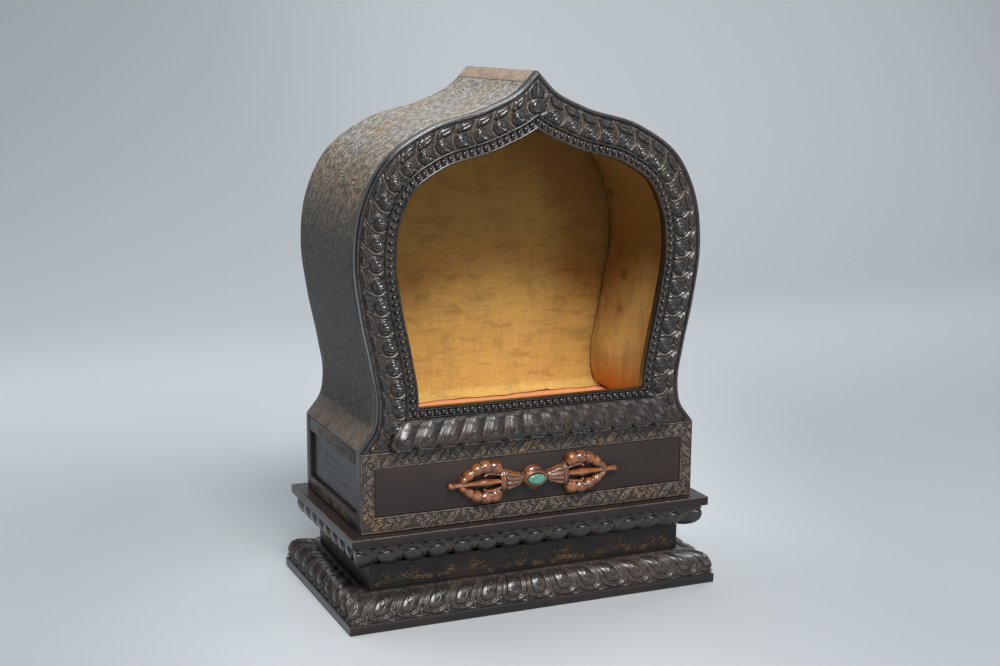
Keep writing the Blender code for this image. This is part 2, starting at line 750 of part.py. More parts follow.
def lotus_end(share):
    """How far the band stands out towards its rounded ends, as a share of its projection."""
    past = max(0.0, abs(share) - LOTUS_END_START) / (1.0 - LOTUS_END_START)
    return math.sqrt(1.0 - LOTUS_END_FALL * past ** 2)


def make_lotus_band():
    """The band of petals across the foot of the arch, standing out over the box."""
    back = BOX_FRONT_Y + LEAF_BAND_DEPTH - SEAT_GAP
    stations = [((petal + phase) * 2 / LOTUS_PETALS - 1.0, petal_swell(phase))
                for petal in range(LOTUS_PETALS) for phase in PETAL_PHASES]
    stations.append((1.0, 0.0))
    points = []
    for row, (out, up) in enumerate(LOTUS_PROFILE):
        relief = LOTUS_RELIEF if 0 < row < len(LOTUS_PROFILE) - 1 else 0.0
        half = blend(LOTUS_BASE_WIDTH, LOTUS_TOP_WIDTH, up ** 2) / 2
        for share, swell in stations:
            moved = share - LOTUS_LEAN * up * math.sin(math.pi * share)
            stand = out * LOTUS_PROJECTION * lotus_end(share) + relief * (swell - PETAL_MEAN)
            points.append(Vector((moved * half, BOX_FRONT_Y - stand, blend(LOTUS_BASE, LOTUS_TOP, up))))
    width = len(stations)
    last = len(points) - width
    corner = len(points)
    for index in (0, width - 1, corner - 1, last):
        points.append(Vector((points[index].x, back, points[index].z)))
    faces = []
    for start in range(0, last, width):
        for near in range(start, start + width - 1):
            faces.append((near, near + 1, near + width + 1, near + width))
    faces.append((corner, *range(width), corner + 1))
    faces.append((corner + 3, *range(last, corner), corner + 2))
    faces.append((corner, *range(0, corner, width), corner + 3))
    faces.append((corner + 1, *range(width - 1, corner, width), corner + 2))
    faces.append(tuple(range(corner, corner + 4)))
    place("lotus_band", mesh_from("lotus_band", points, faces, 35), DARK_WOOD)


def tube(name, spine, sides=6):
    """A closed tube through (x, z, half width, half thickness) stations on the panel's face."""
    points = []
    faces = []
    for index, (x, z, half_width, rise) in enumerate(spine):
        before = spine[max(index - 1, 0)]
        after = spine[min(index + 1, len(spine) - 1)]
        along = Vector((after[0] - before[0], 0.0, after[1] - before[1])).normalized()
        across = Vector((-along.z, 0.0, along.x)) * half_width
        outward = Vector((0.0, rise, 0.0))
        for step in range(sides):
            turn = 2 * math.pi * (step + 0.5) / sides
            points.append(Vector((x, VAJRA_BACK, z)) + across * math.cos(turn) + outward * math.sin(turn))
    for start in range(0, len(points) - sides, sides):
        for step in range(sides):
            near, beside = start + step, start + (step + 1) % sides
            faces.append((near, beside, beside + sides, near + sides))
    faces.append(tuple(range(sides)))
    faces.append(tuple(range(len(points) - sides, len(points))))
    return place(name, mesh_from(name, points, faces, 40), BOXWOOD, CUTTERS)


def oval(name, width, height, back, front, finish, where, taper=0.85, sides=16):
    """An oval button facing the front, a little smaller on its face."""
    shape = bmesh.new()
    bmesh.ops.create_cone(shape, cap_ends=True, segments=sides, radius1=0.5, radius2=0.5 * taper, depth=1.0)
    for corner in shape.verts:
        across, up, out = corner.co
        corner.co = (across * width, blend(back, front, out + 0.5), BOX_MIDDLE + up * height)
    shape.normal_update()
    bmesh.ops.recalc_face_normals(shape, faces=shape.faces)
    mesh = bpy.data.meshes.new(name)
    shape.to_mesh(mesh)
    shape.free()
    mesh.shade_smooth()
    mesh.set_sharp_from_angle(angle=math.radians(35))
    return place(name, mesh, finish, where)


def claw_spine(side, up):
    """One outer claw: an arc of lobes from the collar to where the claws meet."""
    steps = CLAW_LOBES * 3
    spine = []
    for step in range(steps + 1):
        share = step / steps
        turn = math.radians(blend(168.0, 8.0, share))
        lobe = 1.0 + 0.20 * math.cos(share * CLAW_LOBES * 2 * math.pi + math.pi)
        slim = blend(1.15, 0.70, share)
        x = CLAW_MIDDLE + CLAW_REACH * math.cos(turn)
        z = CLAW_SPREAD * math.sin(turn) ** 0.75
        spine.append((side * x, BOX_MIDDLE + up * z, CLAW_RADIUS * lobe * slim, CLAW_RISE * slim))
    return spine


def make_vajra():
    """The double-ended ornament in half relief, and its stone."""
    middle = BOX_MIDDLE
    bead = tube("vajra", [(BEAD_WIDTH / 2 * -math.cos(turn), middle, BEAD_HEIGHT / 2 * math.sin(turn),
                           MIDDLE_RISE * math.sin(turn))
                          for turn in (math.radians(angle) for angle in (22, 50, 90, 130, 158))], 12)
    pieces = [oval("vajra_collet", COLLET_WIDTH, COLLET_HEIGHT, VAJRA_BACK, VAJRA_BACK - COLLET_RISE,
                   BOXWOOD, CUTTERS)]
    for side in (-1, 1):
        pieces.append(tube("vajra_collar", [
            (side * (COLLAR_START - COLLAR_RING), middle, COLLAR_SMALL, COLLAR_RISE * 0.6),
            (side * (COLLAR_START + COLLAR_RING), middle, COLLAR_SMALL, COLLAR_RISE * 0.65),
            (side * blend(COLLAR_START, COLLAR_END, 0.6), middle, COLLAR_LARGE * 0.9, COLLAR_RISE * 0.95),
            (side * COLLAR_END, middle, COLLAR_LARGE, COLLAR_RISE),
            (side * (COLLAR_END + COLLAR_RING), middle, COLLAR_LARGE * 0.9, COLLAR_RISE * 0.9),
        ], 10))
        pieces.append(tube("vajra_point", [
            (side * COLLAR_END, middle, POINT_THIN, POINT_RISE * 0.8),
            (side * blend(COLLAR_END, CLAW_MIDDLE, 0.8), middle, POINT_SWELL, POINT_RISE),
            (side * (CLAW_MIDDLE + CLAW_REACH), middle, POINT_THIN, POINT_RISE * 0.9),
            (side * (VAJRA_LENGTH / 2 - POINT_FLARE), middle, POINT_FLARE, POINT_RISE * 0.9),
            (side * VAJRA_LENGTH / 2, middle, POINT_FLARE * 0.7, POINT_RISE * 0.6),
        ]))
        for up in (-1, 1):
            pieces.append(tube("vajra_claw", claw_spine(side, up)))
    join_solids(bead, pieces)
    reach = VAJRA_LENGTH
    waste = block("behind_the_panel_face", (-reach, VAJRA_BACK, middle - reach / 2),
                  (reach, VAJRA_BACK + reach / 4, middle + reach / 2), BOXWOOD, where=CUTTERS)
    cut = bead.modifiers.new("flat back", "BOOLEAN")
    cut.operation = "DIFFERENCE"
    cut.solver = "EXACT"
    cut.object = waste
    CUTTERS.objects.unlink(bead)
    SHRINE.objects.link(bead)
    bead.hide_render = False
    bead.display_type = "TEXTURED"
    stone_back = VAJRA_BACK - COLLET_RISE - SEAT_GAP
    oval("turquoise_cabochon", STONE_WIDTH, STONE_HEIGHT, stone_back, stone_back - STONE_RISE,
         TURQUOISE, SHRINE, 0.7)


make_foot()
make_waist()
make_cornice()
make_box()
make_hood()
make_lining()
make_arch_board()
make_lotus_band()
make_vajra()
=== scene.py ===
"""Looks of a carved hardwood shrine: an ogee-arched niche on a panelled box and a lotus-moulded plinth.

Metres, Z up. The front faces -Y and the foot stands on Z = 0. Reliefs are drawn in millimetres.
"""
import math

import bmesh
import bpy
import numpy as np
from mathutils import Matrix, Vector


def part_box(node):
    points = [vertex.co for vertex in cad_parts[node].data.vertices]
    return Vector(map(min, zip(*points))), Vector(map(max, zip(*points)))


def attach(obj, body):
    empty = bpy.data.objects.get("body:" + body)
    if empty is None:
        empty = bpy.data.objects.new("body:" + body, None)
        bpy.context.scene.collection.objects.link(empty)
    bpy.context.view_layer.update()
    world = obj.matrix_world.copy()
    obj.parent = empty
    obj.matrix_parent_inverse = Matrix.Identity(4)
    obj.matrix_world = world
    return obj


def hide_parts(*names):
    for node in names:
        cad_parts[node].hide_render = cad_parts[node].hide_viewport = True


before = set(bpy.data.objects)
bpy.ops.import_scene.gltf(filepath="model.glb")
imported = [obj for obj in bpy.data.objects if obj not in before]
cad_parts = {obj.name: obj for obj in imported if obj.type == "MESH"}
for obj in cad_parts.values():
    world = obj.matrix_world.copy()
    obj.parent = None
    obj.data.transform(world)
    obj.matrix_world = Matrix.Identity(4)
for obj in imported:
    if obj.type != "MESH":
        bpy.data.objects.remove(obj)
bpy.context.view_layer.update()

bl_info = {
    "name": "Carved shrine",
    "version": (1, 0, 0),
    "blender": (4, 5, 0),
    "location": "3D View > Sidebar > Shrine",
    "description": "Builds the carved, gilt and lined pieces of a hardwood shrine round its packed frame",
    "category": "Object",
}

MM = 0.001

# Sizes that the solids have too
FOOT_HALF = (0.1507, 0.0834)
FOOT_HEIGHT = 0.0245
FOOT_EDGE = 0.0070
WAIST_HALF = (0.1286, 0.0611)
WAIST_BOARD = 0.0120
WAIST_BASE = 0.0248
WAIST_TOP = 0.0438
CORNICE_BASE = 0.0441
SLAB_HALF = (0.1467, 0.0777)
SLAB_EDGE_BASE = 0.0621
SLAB_TOP = 0.0691
SLAB_PLATE = 0.0090
BOX_HALF = 0.1364
BOX_FRONT = -0.0679
BOX_BACK = 0.0682
BOX_BASE = 0.0694
BOX_TOP = 0.1291
BOX_MIDDLE = 0.09925
ARCH_BASE = 0.1294
ARCH_HALF = 0.1387
ARCH_HEIGHT = 0.2706
BOARD_BACK = -0.0612
HOOD_FRONT = -0.0609
HOOD_THICKNESS = 0.0100
SILL_LEVEL = 0.1594
OPENING_INSET = 0.0309
LOTUS_BASE = 0.1306
LOTUS_TOP = 0.1513
SILK_BACK_FACE = 0.0547
CLOTH_TOP = 0.1349
VAJRA_BACK = -0.0676
VAJRA_MIDDLE = -0.0012
HOOD_BACK_FRONT = 0.0607
PETAL_COUNTS = (13, 7)
ARCH_SHAPE = [
    (0.000, 1.000), (0.034, 0.982), (0.092, 0.952), (0.274, 0.9045), (0.605, 0.853), (0.843, 0.769),
    (0.9647, 0.6494), (1.000, 0.513), (0.9654, 0.359), (0.9113, 0.222), (0.8835, 0.120),
    (0.900, 0.060),
]
FOOT_PROFILE = [(0.19, 0.985), (0.45, 0.980), (0.71, 0.890), (0.885, 0.665), (0.968, 0.440), (0.980, 0.325)]
LOBE_PROFILE = [(0.10, 0.00), (0.48, 0.17), (0.76, 0.46), (0.88, 0.78), (0.89, 1.00)]
LOTUS_PROFILE = [(0.10, 1.00), (0.22, 0.84), (0.62, 0.60), (0.92, 0.34), (1.00, 0.14), (0.90, 0.00)]

# The camera, as solved from the photograph's perspective
CAMERA_PLACE = (-0.47905, -1.10150, 0.43053)
CAMERA_TURN = math.radians(-23.5457)
CAMERA_TILT = math.radians(11.0290)
CAMERA_ROLL = math.radians(0.4272)
CAMERA_LENS = 56.547
CAMERA_SENSOR = 36.0


# Settings that a user would change


def length_setting(name, description, default):
    """A length that a user can change."""
    return bpy.props.FloatProperty(name=name, description=description, default=default, unit="LENGTH")


def colour_setting(name, description, default):
    """A colour that a user can change."""
    return bpy.props.FloatVectorProperty(
        name=name, description=description, subtype="COLOR", default=default, min=0.0, max=1.0)


class ShrineSizes(bpy.types.PropertyGroup):
    """Sizes of the carving."""

    foot_relief: length_setting("Foot petals", "Height of the foot's carved petals", 0.0032)
    lobe_relief: length_setting("Cornice lobes", "Height of the lobes under the slab", 0.0036)
    lotus_relief: length_setting("Lotus band", "Height of the petals across the arch's foot", 0.0028)
    leaf_pitch: length_setting("Leaf spacing", "Distance from one leaf of the arch to the next", 0.0153)
    bead_diameter: length_setting("Bead", "Diameter of the beads round the opening", 0.0044)
    bead_pitch: length_setting("Bead spacing", "Distance from one bead to the next", 0.0056)


class ShrineColours(bpy.types.PropertyGroup):
    """Colours of the finishes."""

    wood: colour_setting("Wood", "The near-black polished hardwood", (0.0120, 0.0100, 0.0092))
    wood_red: colour_setting("Reddish wood", "Where the polish is worn to the red", (0.034, 0.014, 0.011))
    dust: colour_setting("Dust", "Old dust in the hollows of the carving", (0.200, 0.150, 0.110))
    gilt: colour_setting("Gilding", "Worn gold lines", (0.420, 0.240, 0.080))
    # The hood colour is the lighter one painted on the hood's top, where light falls from above.
    hood: colour_setting("Hood", "The hood's dry grey-brown wood", (0.108, 0.090, 0.072))
    boxwood: colour_setting("Boxwood", "The orange-brown wood of the ornament", (0.255, 0.080, 0.018))
    silk: colour_setting("Silk", "The golden lining", (0.670, 0.430, 0.125))
    cloth: colour_setting("Floor cloth", "The orange cloth on the niche's floor", (0.900, 0.330, 0.120))


def sizes():
    """The scene's sizes."""
    return bpy.context.scene.shrine_sizes


def colours():
    """The scene's colours."""
    return bpy.context.scene.shrine_colours


# Shader nodes


class Wire:
    """The value of a socket, with arithmetic."""

    def __init__(self, finish, socket):
        self.finish = finish
        self.socket = socket

    def maths(self, operation, first, second):
        """One Math node."""
        return self.finish.maths(operation, first, second)

    def __add__(self, other):
        return self.maths("ADD", self, other)

    def __radd__(self, other):
        return self.maths("ADD", other, self)

    def __sub__(self, other):
        return self.maths("SUBTRACT", self, other)

    def __rsub__(self, other):
        return self.maths("SUBTRACT", other, self)

    def __mul__(self, other):
        return self.maths("MULTIPLY", self, other)

    def __rmul__(self, other):
        return self.maths("MULTIPLY", other, self)

    def __truediv__(self, other):
        return self.maths("DIVIDE", self, other)

    def __pow__(self, other):
        return self.maths("POWER", self, other)


class Finish:
    """A Principled material and the nodes that feed it."""

    def __init__(self, name, **constants):
        self.material = bpy.data.materials.new(name)
        self.material.use_nodes = True
        self.tree = self.material.node_tree
        self.shader = self.tree.nodes["Principled BSDF"]
        for socket, value in constants.items():
            self.shader.inputs[socket.replace("_", " ")].default_value = value

    def node(self, kind, settings=None, values=None, output=0):
        """Any node: its settings, then the values or links of its sockets."""
        made = self.tree.nodes.new(kind)
        for key, value in (settings or {}).items():
            if key == "stops":
                self.set_stops(made.color_ramp, value)
            else:
                setattr(made, key, value)
        for key, value in (values or {}).items():
            self.join(made.inputs[key], value)
        return Wire(self, made.outputs[output])

    def set_stops(self, ramp, stops):
        """A colour ramp's stops, in order."""
        while len(ramp.elements) > 1:
            ramp.elements.remove(ramp.elements[-1])
        ramp.elements[0].position = stops[0][0]
        ramp.elements[0].color = stops[0][1]
        for position, colour in stops[1:]:
            ramp.elements.new(position).color = colour

    def join(self, socket, value):
        """A link or a plain value for a socket."""
        if isinstance(value, Wire):
            self.tree.links.new(value.socket, socket)
        elif hasattr(value, "__len__") and len(value) == 3 and len(socket.default_value) == 4:
            socket.default_value = (*value, 1.0)
        else:
            socket.default_value = value

    def set(self, socket, value):
        """Feeds one of the shader's sockets."""
        self.join(self.shader.inputs[socket], value)

    def maths(self, operation, first, second=0.0):
        """One Math node."""
        return self.node("ShaderNodeMath", {"operation": operation}, {0: first, 1: second})

    def place(self, scale=(1.0, 1.0, 1.0), turn=(0.0, 0.0, 0.0), of="Object"):
        """Coordinates on the object, stretched and turned."""
        source = self.node("ShaderNodeTexCoord", output=of)
        return self.node("ShaderNodeMapping", None,
                         {"Vector": source, "Scale": scale, "Rotation": turn})

    def noise(self, where, scale, detail=3.0, rough=0.55, distortion=0.0):
        """Noise from about nought to one."""
        return self.node("ShaderNodeTexNoise", None, {
            "Vector": where, "Scale": scale, "Detail": detail, "Roughness": rough,
            "Distortion": distortion})

    def cloth_noise(self, across, along, detail, rough, distortion=0.0):
        """Noise on a cloth's flat map, finer one way than the other."""
        return self.noise(self.place((across, along, 1.0), of="UV"), 1.0, detail, rough, distortion)

    def rises(self, value, low, high):
        """Nought at low, one at high and smooth between them, either way round."""
        return self.node("ShaderNodeMapRange", {"interpolation_type": "SMOOTHSTEP"},
                         {"Value": value, "From Min": low, "From Max": high})

    def mix(self, share, first, second):
        """Two colours mixed by a share."""
        made = self.tree.nodes.new("ShaderNodeMix")
        made.data_type = "RGBA"
        self.join(made.inputs[0], share)
        self.join(made.inputs[6], first)
        self.join(made.inputs[7], second)
        return Wire(self, made.outputs[2])

    def value_of(self, attribute):
        """A float attribute of the mesh."""
        return self.node("ShaderNodeAttribute", {"attribute_name": attribute}, output="Fac")

    def bump(self, height, strength, distance):
        """A bump that feeds the shader's normal."""
        made = self.node("ShaderNodeBump", None, {"Height": height, "Strength": strength,
                                                  "Distance": distance})
        self.set("Normal", made)


FINISHES = {}


def finish_of(name):
    """The material of that name, made once."""
    if name not in FINISHES:
        FINISHES[name] = FINISH_MAKERS.get(name, plain_wood)(name).material
    return FINISHES[name]


def wood_finish(name, base, red, red_amount, rough, coat, grain_turn, dust):
    """Old polished hardwood: dust in hollows, crests lighter as worn wood and as a painted highlight, and
    fine grain.

    It reads the mesh's crest, hollow, pale and shine.
    """
    finish = Finish(name, Coat_Roughness=0.24, Specular_IOR_Level=0.38)
    where = finish.place()
    grain = finish.noise(finish.place((900.0, 60.0, 900.0), grain_turn), 1.0, 4.0, 0.6)
    cloud = finish.noise(where, 28.0, 4.0, 0.6)
    speck = finish.noise(where, 420.0, 3.0, 0.6)
    shine = finish.value_of("shine")
    patch = finish.rises(cloud + grain * 0.25, 0.56, 0.78) * red_amount
    tone = finish.mix(patch, base, red)
    tone = finish.mix(shine * 0.8, tone, (0.008, 0.007, 0.0065))
    tone = finish.mix(grain * 0.35, tone, [value * 0.5 for value in base])
    crest = finish.value_of("crest") * finish.rises(speck, 0.30, 0.62)
    hollow = finish.value_of("hollow") * finish.rises(speck + cloud * 0.5, 0.50, 0.95)
    # Crests painted lighter: partly worn wood, partly a painted highlight.
    tone = finish.mix(crest * 0.45, tone, (0.135, 0.115, 0.100))
    tone = finish.mix(hollow * dust, tone, tuple(colours().dust))
    pale = finish.value_of("pale") * finish.rises(speck + cloud * 0.3, 0.40, 0.75)
    tone = finish.mix(pale * 0.80, tone, (0.330, 0.270, 0.215))
    finish.set("Base Color", tone)
    dull = rough - shine * 0.15 + hollow * 0.30 + pale * 0.20
    finish.set("Roughness", dull + (grain - 0.5) * 0.12 + (cloud - 0.5) * 0.12)
    finish.set("Coat Weight", (shine * 0.45 + coat) * (1.0 - hollow))
    finish.bump(grain * 0.6 + speck * 0.4, 0.30, 0.00010)
    return finish


def plain_wood(name):
    """One of the hardwoods.

    Each has its colour, its red, the share of red, roughness, coat, the grain's turn and the dust.
    """
    grain_up = (0.0, 0.0, 0.0)
    grain_along = (0.0, 0.0, math.pi / 2)
    worn = tuple(colours().wood_red)
    made = {
        # The carved mouldings
        "carved_wood": (tuple(colours().wood), worn, 0.6, 0.34, 0.25, grain_up, 0.30),
        # The arch's front board
        "board_wood": ((0.010, 0.0092, 0.0095), (0.018, 0.013, 0.011), 0.6, 0.25, 0.42, grain_up, 0.30),
        # The polished beads
        "bead_wood": ((0.011, 0.009, 0.010), (0.030, 0.013, 0.012), 0.9, 0.18, 0.55, grain_up, 0.5),
        # The slab, the hood's back and other plain boards
        "slab_wood": ((0.015, 0.0095, 0.009), worn, 0.5, 0.36, 0.15, grain_up, 0.5),
        # The plain front panel: dark brown with fine pores
        "panel_wood": ((0.021, 0.0140, 0.0120), (0.034, 0.0195, 0.0160), 0.8, 0.50, 0.02, grain_along, 0.5),
        # The waist: nearly black with warm rubbed places
        "waist_wood": ((0.007, 0.0058, 0.005), (0.032, 0.015, 0.008), 0.7, 0.42, 0.08, grain_along, 0.5),
        # Side panels: painted blue-grey for the sheen that raking light gives them
        "side_wood": ((0.030, 0.0310, 0.033), (0.038, 0.035, 0.034), 0.7, 0.42, 0.18, grain_up, 0.5),
    }[name]
    return wood_finish(name, *made)


def frame_wood(name):
    """The box's carved frame, rubbed to brown and once gilt, with painted highlights on its crests and
    painted shade in its hollows.
    """
    finish = Finish(name, Coat_Weight=0.15, Coat_Roughness=0.25, Specular_IOR_Level=0.45)
    where = finish.place()
    speck = finish.noise(where, 380.0, 3.0, 0.6)
    cloud = finish.noise(where, 34.0, 3.0, 0.6)
    crest = finish.value_of("crest")
    hollow = finish.value_of("hollow")
    tone = finish.mix(cloud, (0.022, 0.016, 0.012), (0.042, 0.028, 0.019))
    # Crests painted lighter tan: partly worn wood, partly a painted highlight.
    tone = finish.mix(crest * finish.rises(speck, 0.34, 0.62) * 0.72, tone, (0.290, 0.225, 0.175))
    gold = crest * finish.rises(cloud + speck * 0.4, 0.78, 0.92)
    tone = finish.mix(gold * 0.7, tone, tuple(colours().gilt))
    # Painted shade: the hollows are painted nearly black.
    tone = finish.mix(hollow * 0.75, tone, (0.010, 0.008, 0.007))
    finish.set("Base Color", tone)
    finish.set("Metallic", gold * 0.5)
    finish.set("Roughness", 0.36 + hollow * 0.3 + speck * 0.1)
    finish.bump(speck, 0.25, 0.0001)
    return finish


def hood_wood(name):
    """The hood: engraved all over, painted paler towards its top where light falls from above, with gilt
    strips.

    It reads the mesh's from_tip and from_front.
    """
    finish = Finish(name, Coat_Weight=0.05, Coat_Roughness=0.35, Specular_IOR_Level=0.40)
    along = finish.value_of("from_tip")
    across = finish.value_of("from_front")
    flat = finish.node("ShaderNodeCombineXYZ", None, {"X": along, "Y": across, "Z": 0.0})
    wobble = finish.node("ShaderNodeTexNoise", None, {"Vector": flat, "Scale": 45.0, "Detail": 3.0},
                         output="Color")
    moved = finish.node("ShaderNodeMix", {"data_type": "VECTOR"}, {0: 0.013, 4: flat, 5: wobble}, output=1)
    patches = {"Vector": moved, "Scale": 96.0, "Randomness": 0.95}
    cells = finish.node("ShaderNodeTexVoronoi", {"feature": "F1"}, patches)
    turn = finish.node("ShaderNodeTexVoronoi", {"feature": "F1"}, patches, output="Color")
    kind = finish.node("ShaderNodeSeparateColor", None, {0: turn}, output=0)
    lean = finish.node("ShaderNodeSeparateColor", None, {0: turn}, output=1)
    arcs = finish.maths("SINE", cells * 52.0)
    slanted = along * finish.rises(kind, 0.0, 0.6) + across * (lean - 0.5) * 2.6
    hatch = finish.maths("SINE", slanted * 4300.0 + cells * 5.0)
    choose = finish.rises(kind, 0.10, 0.16)
    lines = arcs * (1.0 - choose) + hatch * choose
    wear = finish.noise(flat, 60.0, 4.0, 0.65)
    fine = finish.noise(flat, 700.0, 3.0, 0.65)
    grit = finish.noise(flat, 430.0, 4.0, 0.75)
    coarse = finish.noise(flat, 185.0, 4.0, 0.7)
    lines = lines * 0.60 + (grit - 0.5) * 4.0 + (coarse - 0.5) * 5.0
    cut = finish.rises(lines + (fine - 0.5) * 2.0, 0.0, 0.80) * finish.rises(wear, 0.20, 0.40)
    place = finish.node("ShaderNodeTexCoord", output="Object")
    height = finish.node("ShaderNodeSeparateXYZ", None, {0: place}, output="Z")
    # Painted light: the hood is painted lighter towards its top, where light falls from above, and darker
    # lower down as painted shade.
    painted_top_light = finish.rises(height + (wear - 0.5) * 0.06, 0.25, 0.37)
    middle = finish.rises(height, 0.22, 0.27) * finish.rises(height, 0.36, 0.31)
    brown = finish.rises(finish.noise(flat, 22.0, 3.0, 0.6) + middle * 0.14, 0.42, 0.66)
    # Painted shade low on the hood and the lit hood colour on top; the brown and the engraved lines are
    # painted lighter on top the same way.
    tone = finish.mix(painted_top_light, (0.020, 0.017, 0.016), tuple(colours().hood))
    tone = finish.mix(brown * 0.7, tone, finish.mix(painted_top_light, (0.034, 0.023, 0.015), (0.120, 0.080, 0.048)))
    pale = finish.mix(brown, (0.400, 0.390, 0.360), (0.420, 0.320, 0.210))
    tone = finish.mix(cut * 0.80, tone, finish.mix(painted_top_light, (0.125, 0.112, 0.094), pale))
    tone = finish.mix(finish.rises(0.0 - lines, 0.10, 0.80) * 0.75, tone, (0.014, 0.012, 0.011))
    strip = finish.rises(along, 0.0112, 0.0100)
    foot = finish.rises(along, 0.3330, 0.3342)
    band = finish.rises(across, 0.0085, 0.0078) * finish.rises(along, 0.22, 0.27)
    gilt_mask = finish.maths("MAXIMUM", strip, finish.maths("MAXIMUM", foot * 0.30, band * 0.35))
    rubbed = gilt_mask * finish.rises(wear + fine * 0.5, 0.50, 0.95)
    tone = finish.mix(gilt_mask * 0.55, tone, (0.130, 0.090, 0.066))
    tone = finish.mix(rubbed * 0.70, tone, (0.360, 0.250, 0.170))
    groove = finish.rises(along, 0.0104, 0.0109) * finish.rises(along, 0.0119, 0.0114)
    tone = finish.mix(groove * 0.8, tone, (0.020, 0.016, 0.014))
    lip = finish.maths("MAXIMUM", finish.rises(across, 0.0010, 0.0004),
                       finish.rises(across, 0.1280, 0.1286))
    finish.set("Base Color", finish.mix(lip * 0.94, tone, (0.014, 0.012, 0.011)))
    finish.set("Roughness", 0.46 + wear * 0.12 + lip * 0.3)
    relief = cut * 0.7 - finish.rises(0.0 - lines, 0.2, 0.9) * 0.5 + fine * 0.25
    finish.bump(relief * (1.0 - lip), 0.6, 0.00030)
    return finish


def gilt_lines(name):
    """Gold lines rubbed away in places, over the dark wood."""
    finish = Finish(name, Coat_Weight=0.0, Specular_IOR_Level=0.5)
    where = finish.place()
    left = finish.rises(finish.noise(where, 110.0, 3.0, 0.6), 0.42, 0.66)
    finish.set("Base Color", finish.mix(left, (0.028, 0.016, 0.009), tuple(colours().gilt)))
    finish.set("Metallic", left * 0.6)
    finish.set("Roughness", 0.55 - left * 0.12)
    return finish


def boxwood(name):
    """Glossy orange-brown wood, painted darker in its hollows as shade, and greyed on its crests."""
    finish = Finish(name, Coat_Weight=0.85, Coat_Roughness=0.24, Specular_IOR_Level=0.60)
    where = finish.place()
    cloud = finish.noise(where, 110.0, 4.0, 0.6)
    fine = finish.noise(where, 900.0, 3.0, 0.6)
    hollow = finish.value_of("hollow")
    crest = finish.value_of("crest")
    tone = finish.mix(finish.rises(cloud, 0.38, 0.66), tuple(colours().boxwood), (0.100, 0.026, 0.009))
    grey = crest * finish.rises(cloud + fine * 0.3, 0.50, 0.85)
    tone = finish.mix(grey * 0.28, tone, (0.340, 0.190, 0.100))
    # Painted shade: the hollows are painted nearly black.
    tone = finish.mix(finish.rises(hollow, 0.05, 0.55), tone, (0.016, 0.007, 0.005))
    finish.set("Base Color", tone)
    finish.set("Roughness", 0.24 + hollow * 0.3 + fine * 0.10)
    finish.bump(fine, 0.20, 0.00008)
    return finish


def turquoise(name):
    """Polished green-blue stone with dark veins."""
    finish = Finish(name, Coat_Weight=0.5, Coat_Roughness=0.12, Specular_IOR_Level=0.5)
    where = finish.place((1.0, 0.4, 1.0))
    cloud = finish.noise(where, 260.0, 4.0, 0.6, 0.6)
    vein = finish.noise(where, 150.0, 5.0, 0.7, 1.6)
    near = finish.maths("ABSOLUTE", vein - 0.5)
    dark = finish.rises(near, 0.048, 0.012) * finish.rises(cloud, 0.36, 0.56)
    tone = finish.mix(cloud, (0.060, 0.205, 0.160), (0.135, 0.350, 0.275))
    tone = finish.mix(dark * 0.9, tone, (0.030, 0.045, 0.035))
    finish.set("Base Color", tone)
    finish.set("Roughness", 0.22 + dark * 0.3)
    finish.bump(dark, 0.15, 0.0002)
    return finish


def silk(name):
    """Aged golden silk, its weave and slubs on the UV map, stained with age, with painted shade and a
    painted glow from the floor cloth.
    """
    finish = Finish(name, Sheen_Weight=0.05, Sheen_Roughness=0.5, Specular_IOR_Level=0.25)
    warp = finish.cloth_noise(1300.0, 50.0, 3.0, 0.65)
    weft = finish.cloth_noise(50.0, 1300.0, 3.0, 0.65)
    slub = finish.cloth_noise(260.0, 26.0, 3.0, 0.6)
    slub_two = finish.cloth_noise(14.0, 240.0, 4.0, 0.65)
    stain = finish.cloth_noise(11.0, 26.0, 5.0, 0.62, 0.15)
    band = finish.cloth_noise(4.0, 70.0, 4.0, 0.6)
    spots = finish.noise(finish.place(of="UV"), 70.0, 4.0, 0.7)
    blotch = finish.cloth_noise(34.0, 90.0, 5.0, 0.68, 0.1)
    mottle = finish.cloth_noise(44.0, 16.0, 5.0, 0.7)
    brown = finish.value_of("brown")
    tone = finish.mix(stain, tuple(colours().silk), (0.560, 0.340, 0.088))
    weave = warp * 0.5 + weft * 0.5
    for value, low, high, share, colour in (
        (weave, 0.60, 0.40, 0.40, (0.300, 0.175, 0.050)),
        (slub * 0.5 + slub_two * 0.5, 0.54, 0.68, 0.22, (0.720, 0.490, 0.180)),
        (slub_two * 0.6 + band * 0.4, 0.46, 0.36, 0.14, (0.250, 0.150, 0.050)),
        (blotch, 0.50, 0.64, 0.62, (0.340, 0.200, 0.058)),
        (blotch + stain * 0.3, 0.58, 0.44, 0.35, (0.700, 0.450, 0.110)),
        (spots + stain * 0.4, 0.80, 1.00, 0.40, (0.250, 0.135, 0.050)),
        (mottle, 0.48, 0.66, 0.42, (0.330, 0.200, 0.060)),
    ):
        tone = finish.mix(finish.rises(value, low, high) * share, tone, colour)
    # Painted shade from brown: darker near the seams and edges and towards the top, where the arch shades
    # the niche; brown also carries a few real stains.
    tone = finish.mix(brown * (0.8 + stain * 0.4), tone, (0.145, 0.080, 0.013))
    # Painted reflected light: an orange glow low on the side silk, as thrown up from the floor cloth.
    tone = finish.mix(finish.value_of("warm") * 0.70, tone, (0.500, 0.190, 0.030))
    finish.set("Base Color", tone)
    finish.set("Roughness", 0.62 + weave * 0.2)
    finish.bump(weave + slub * 0.4 + slub_two * 0.3, 0.5, 0.00025)
    return finish


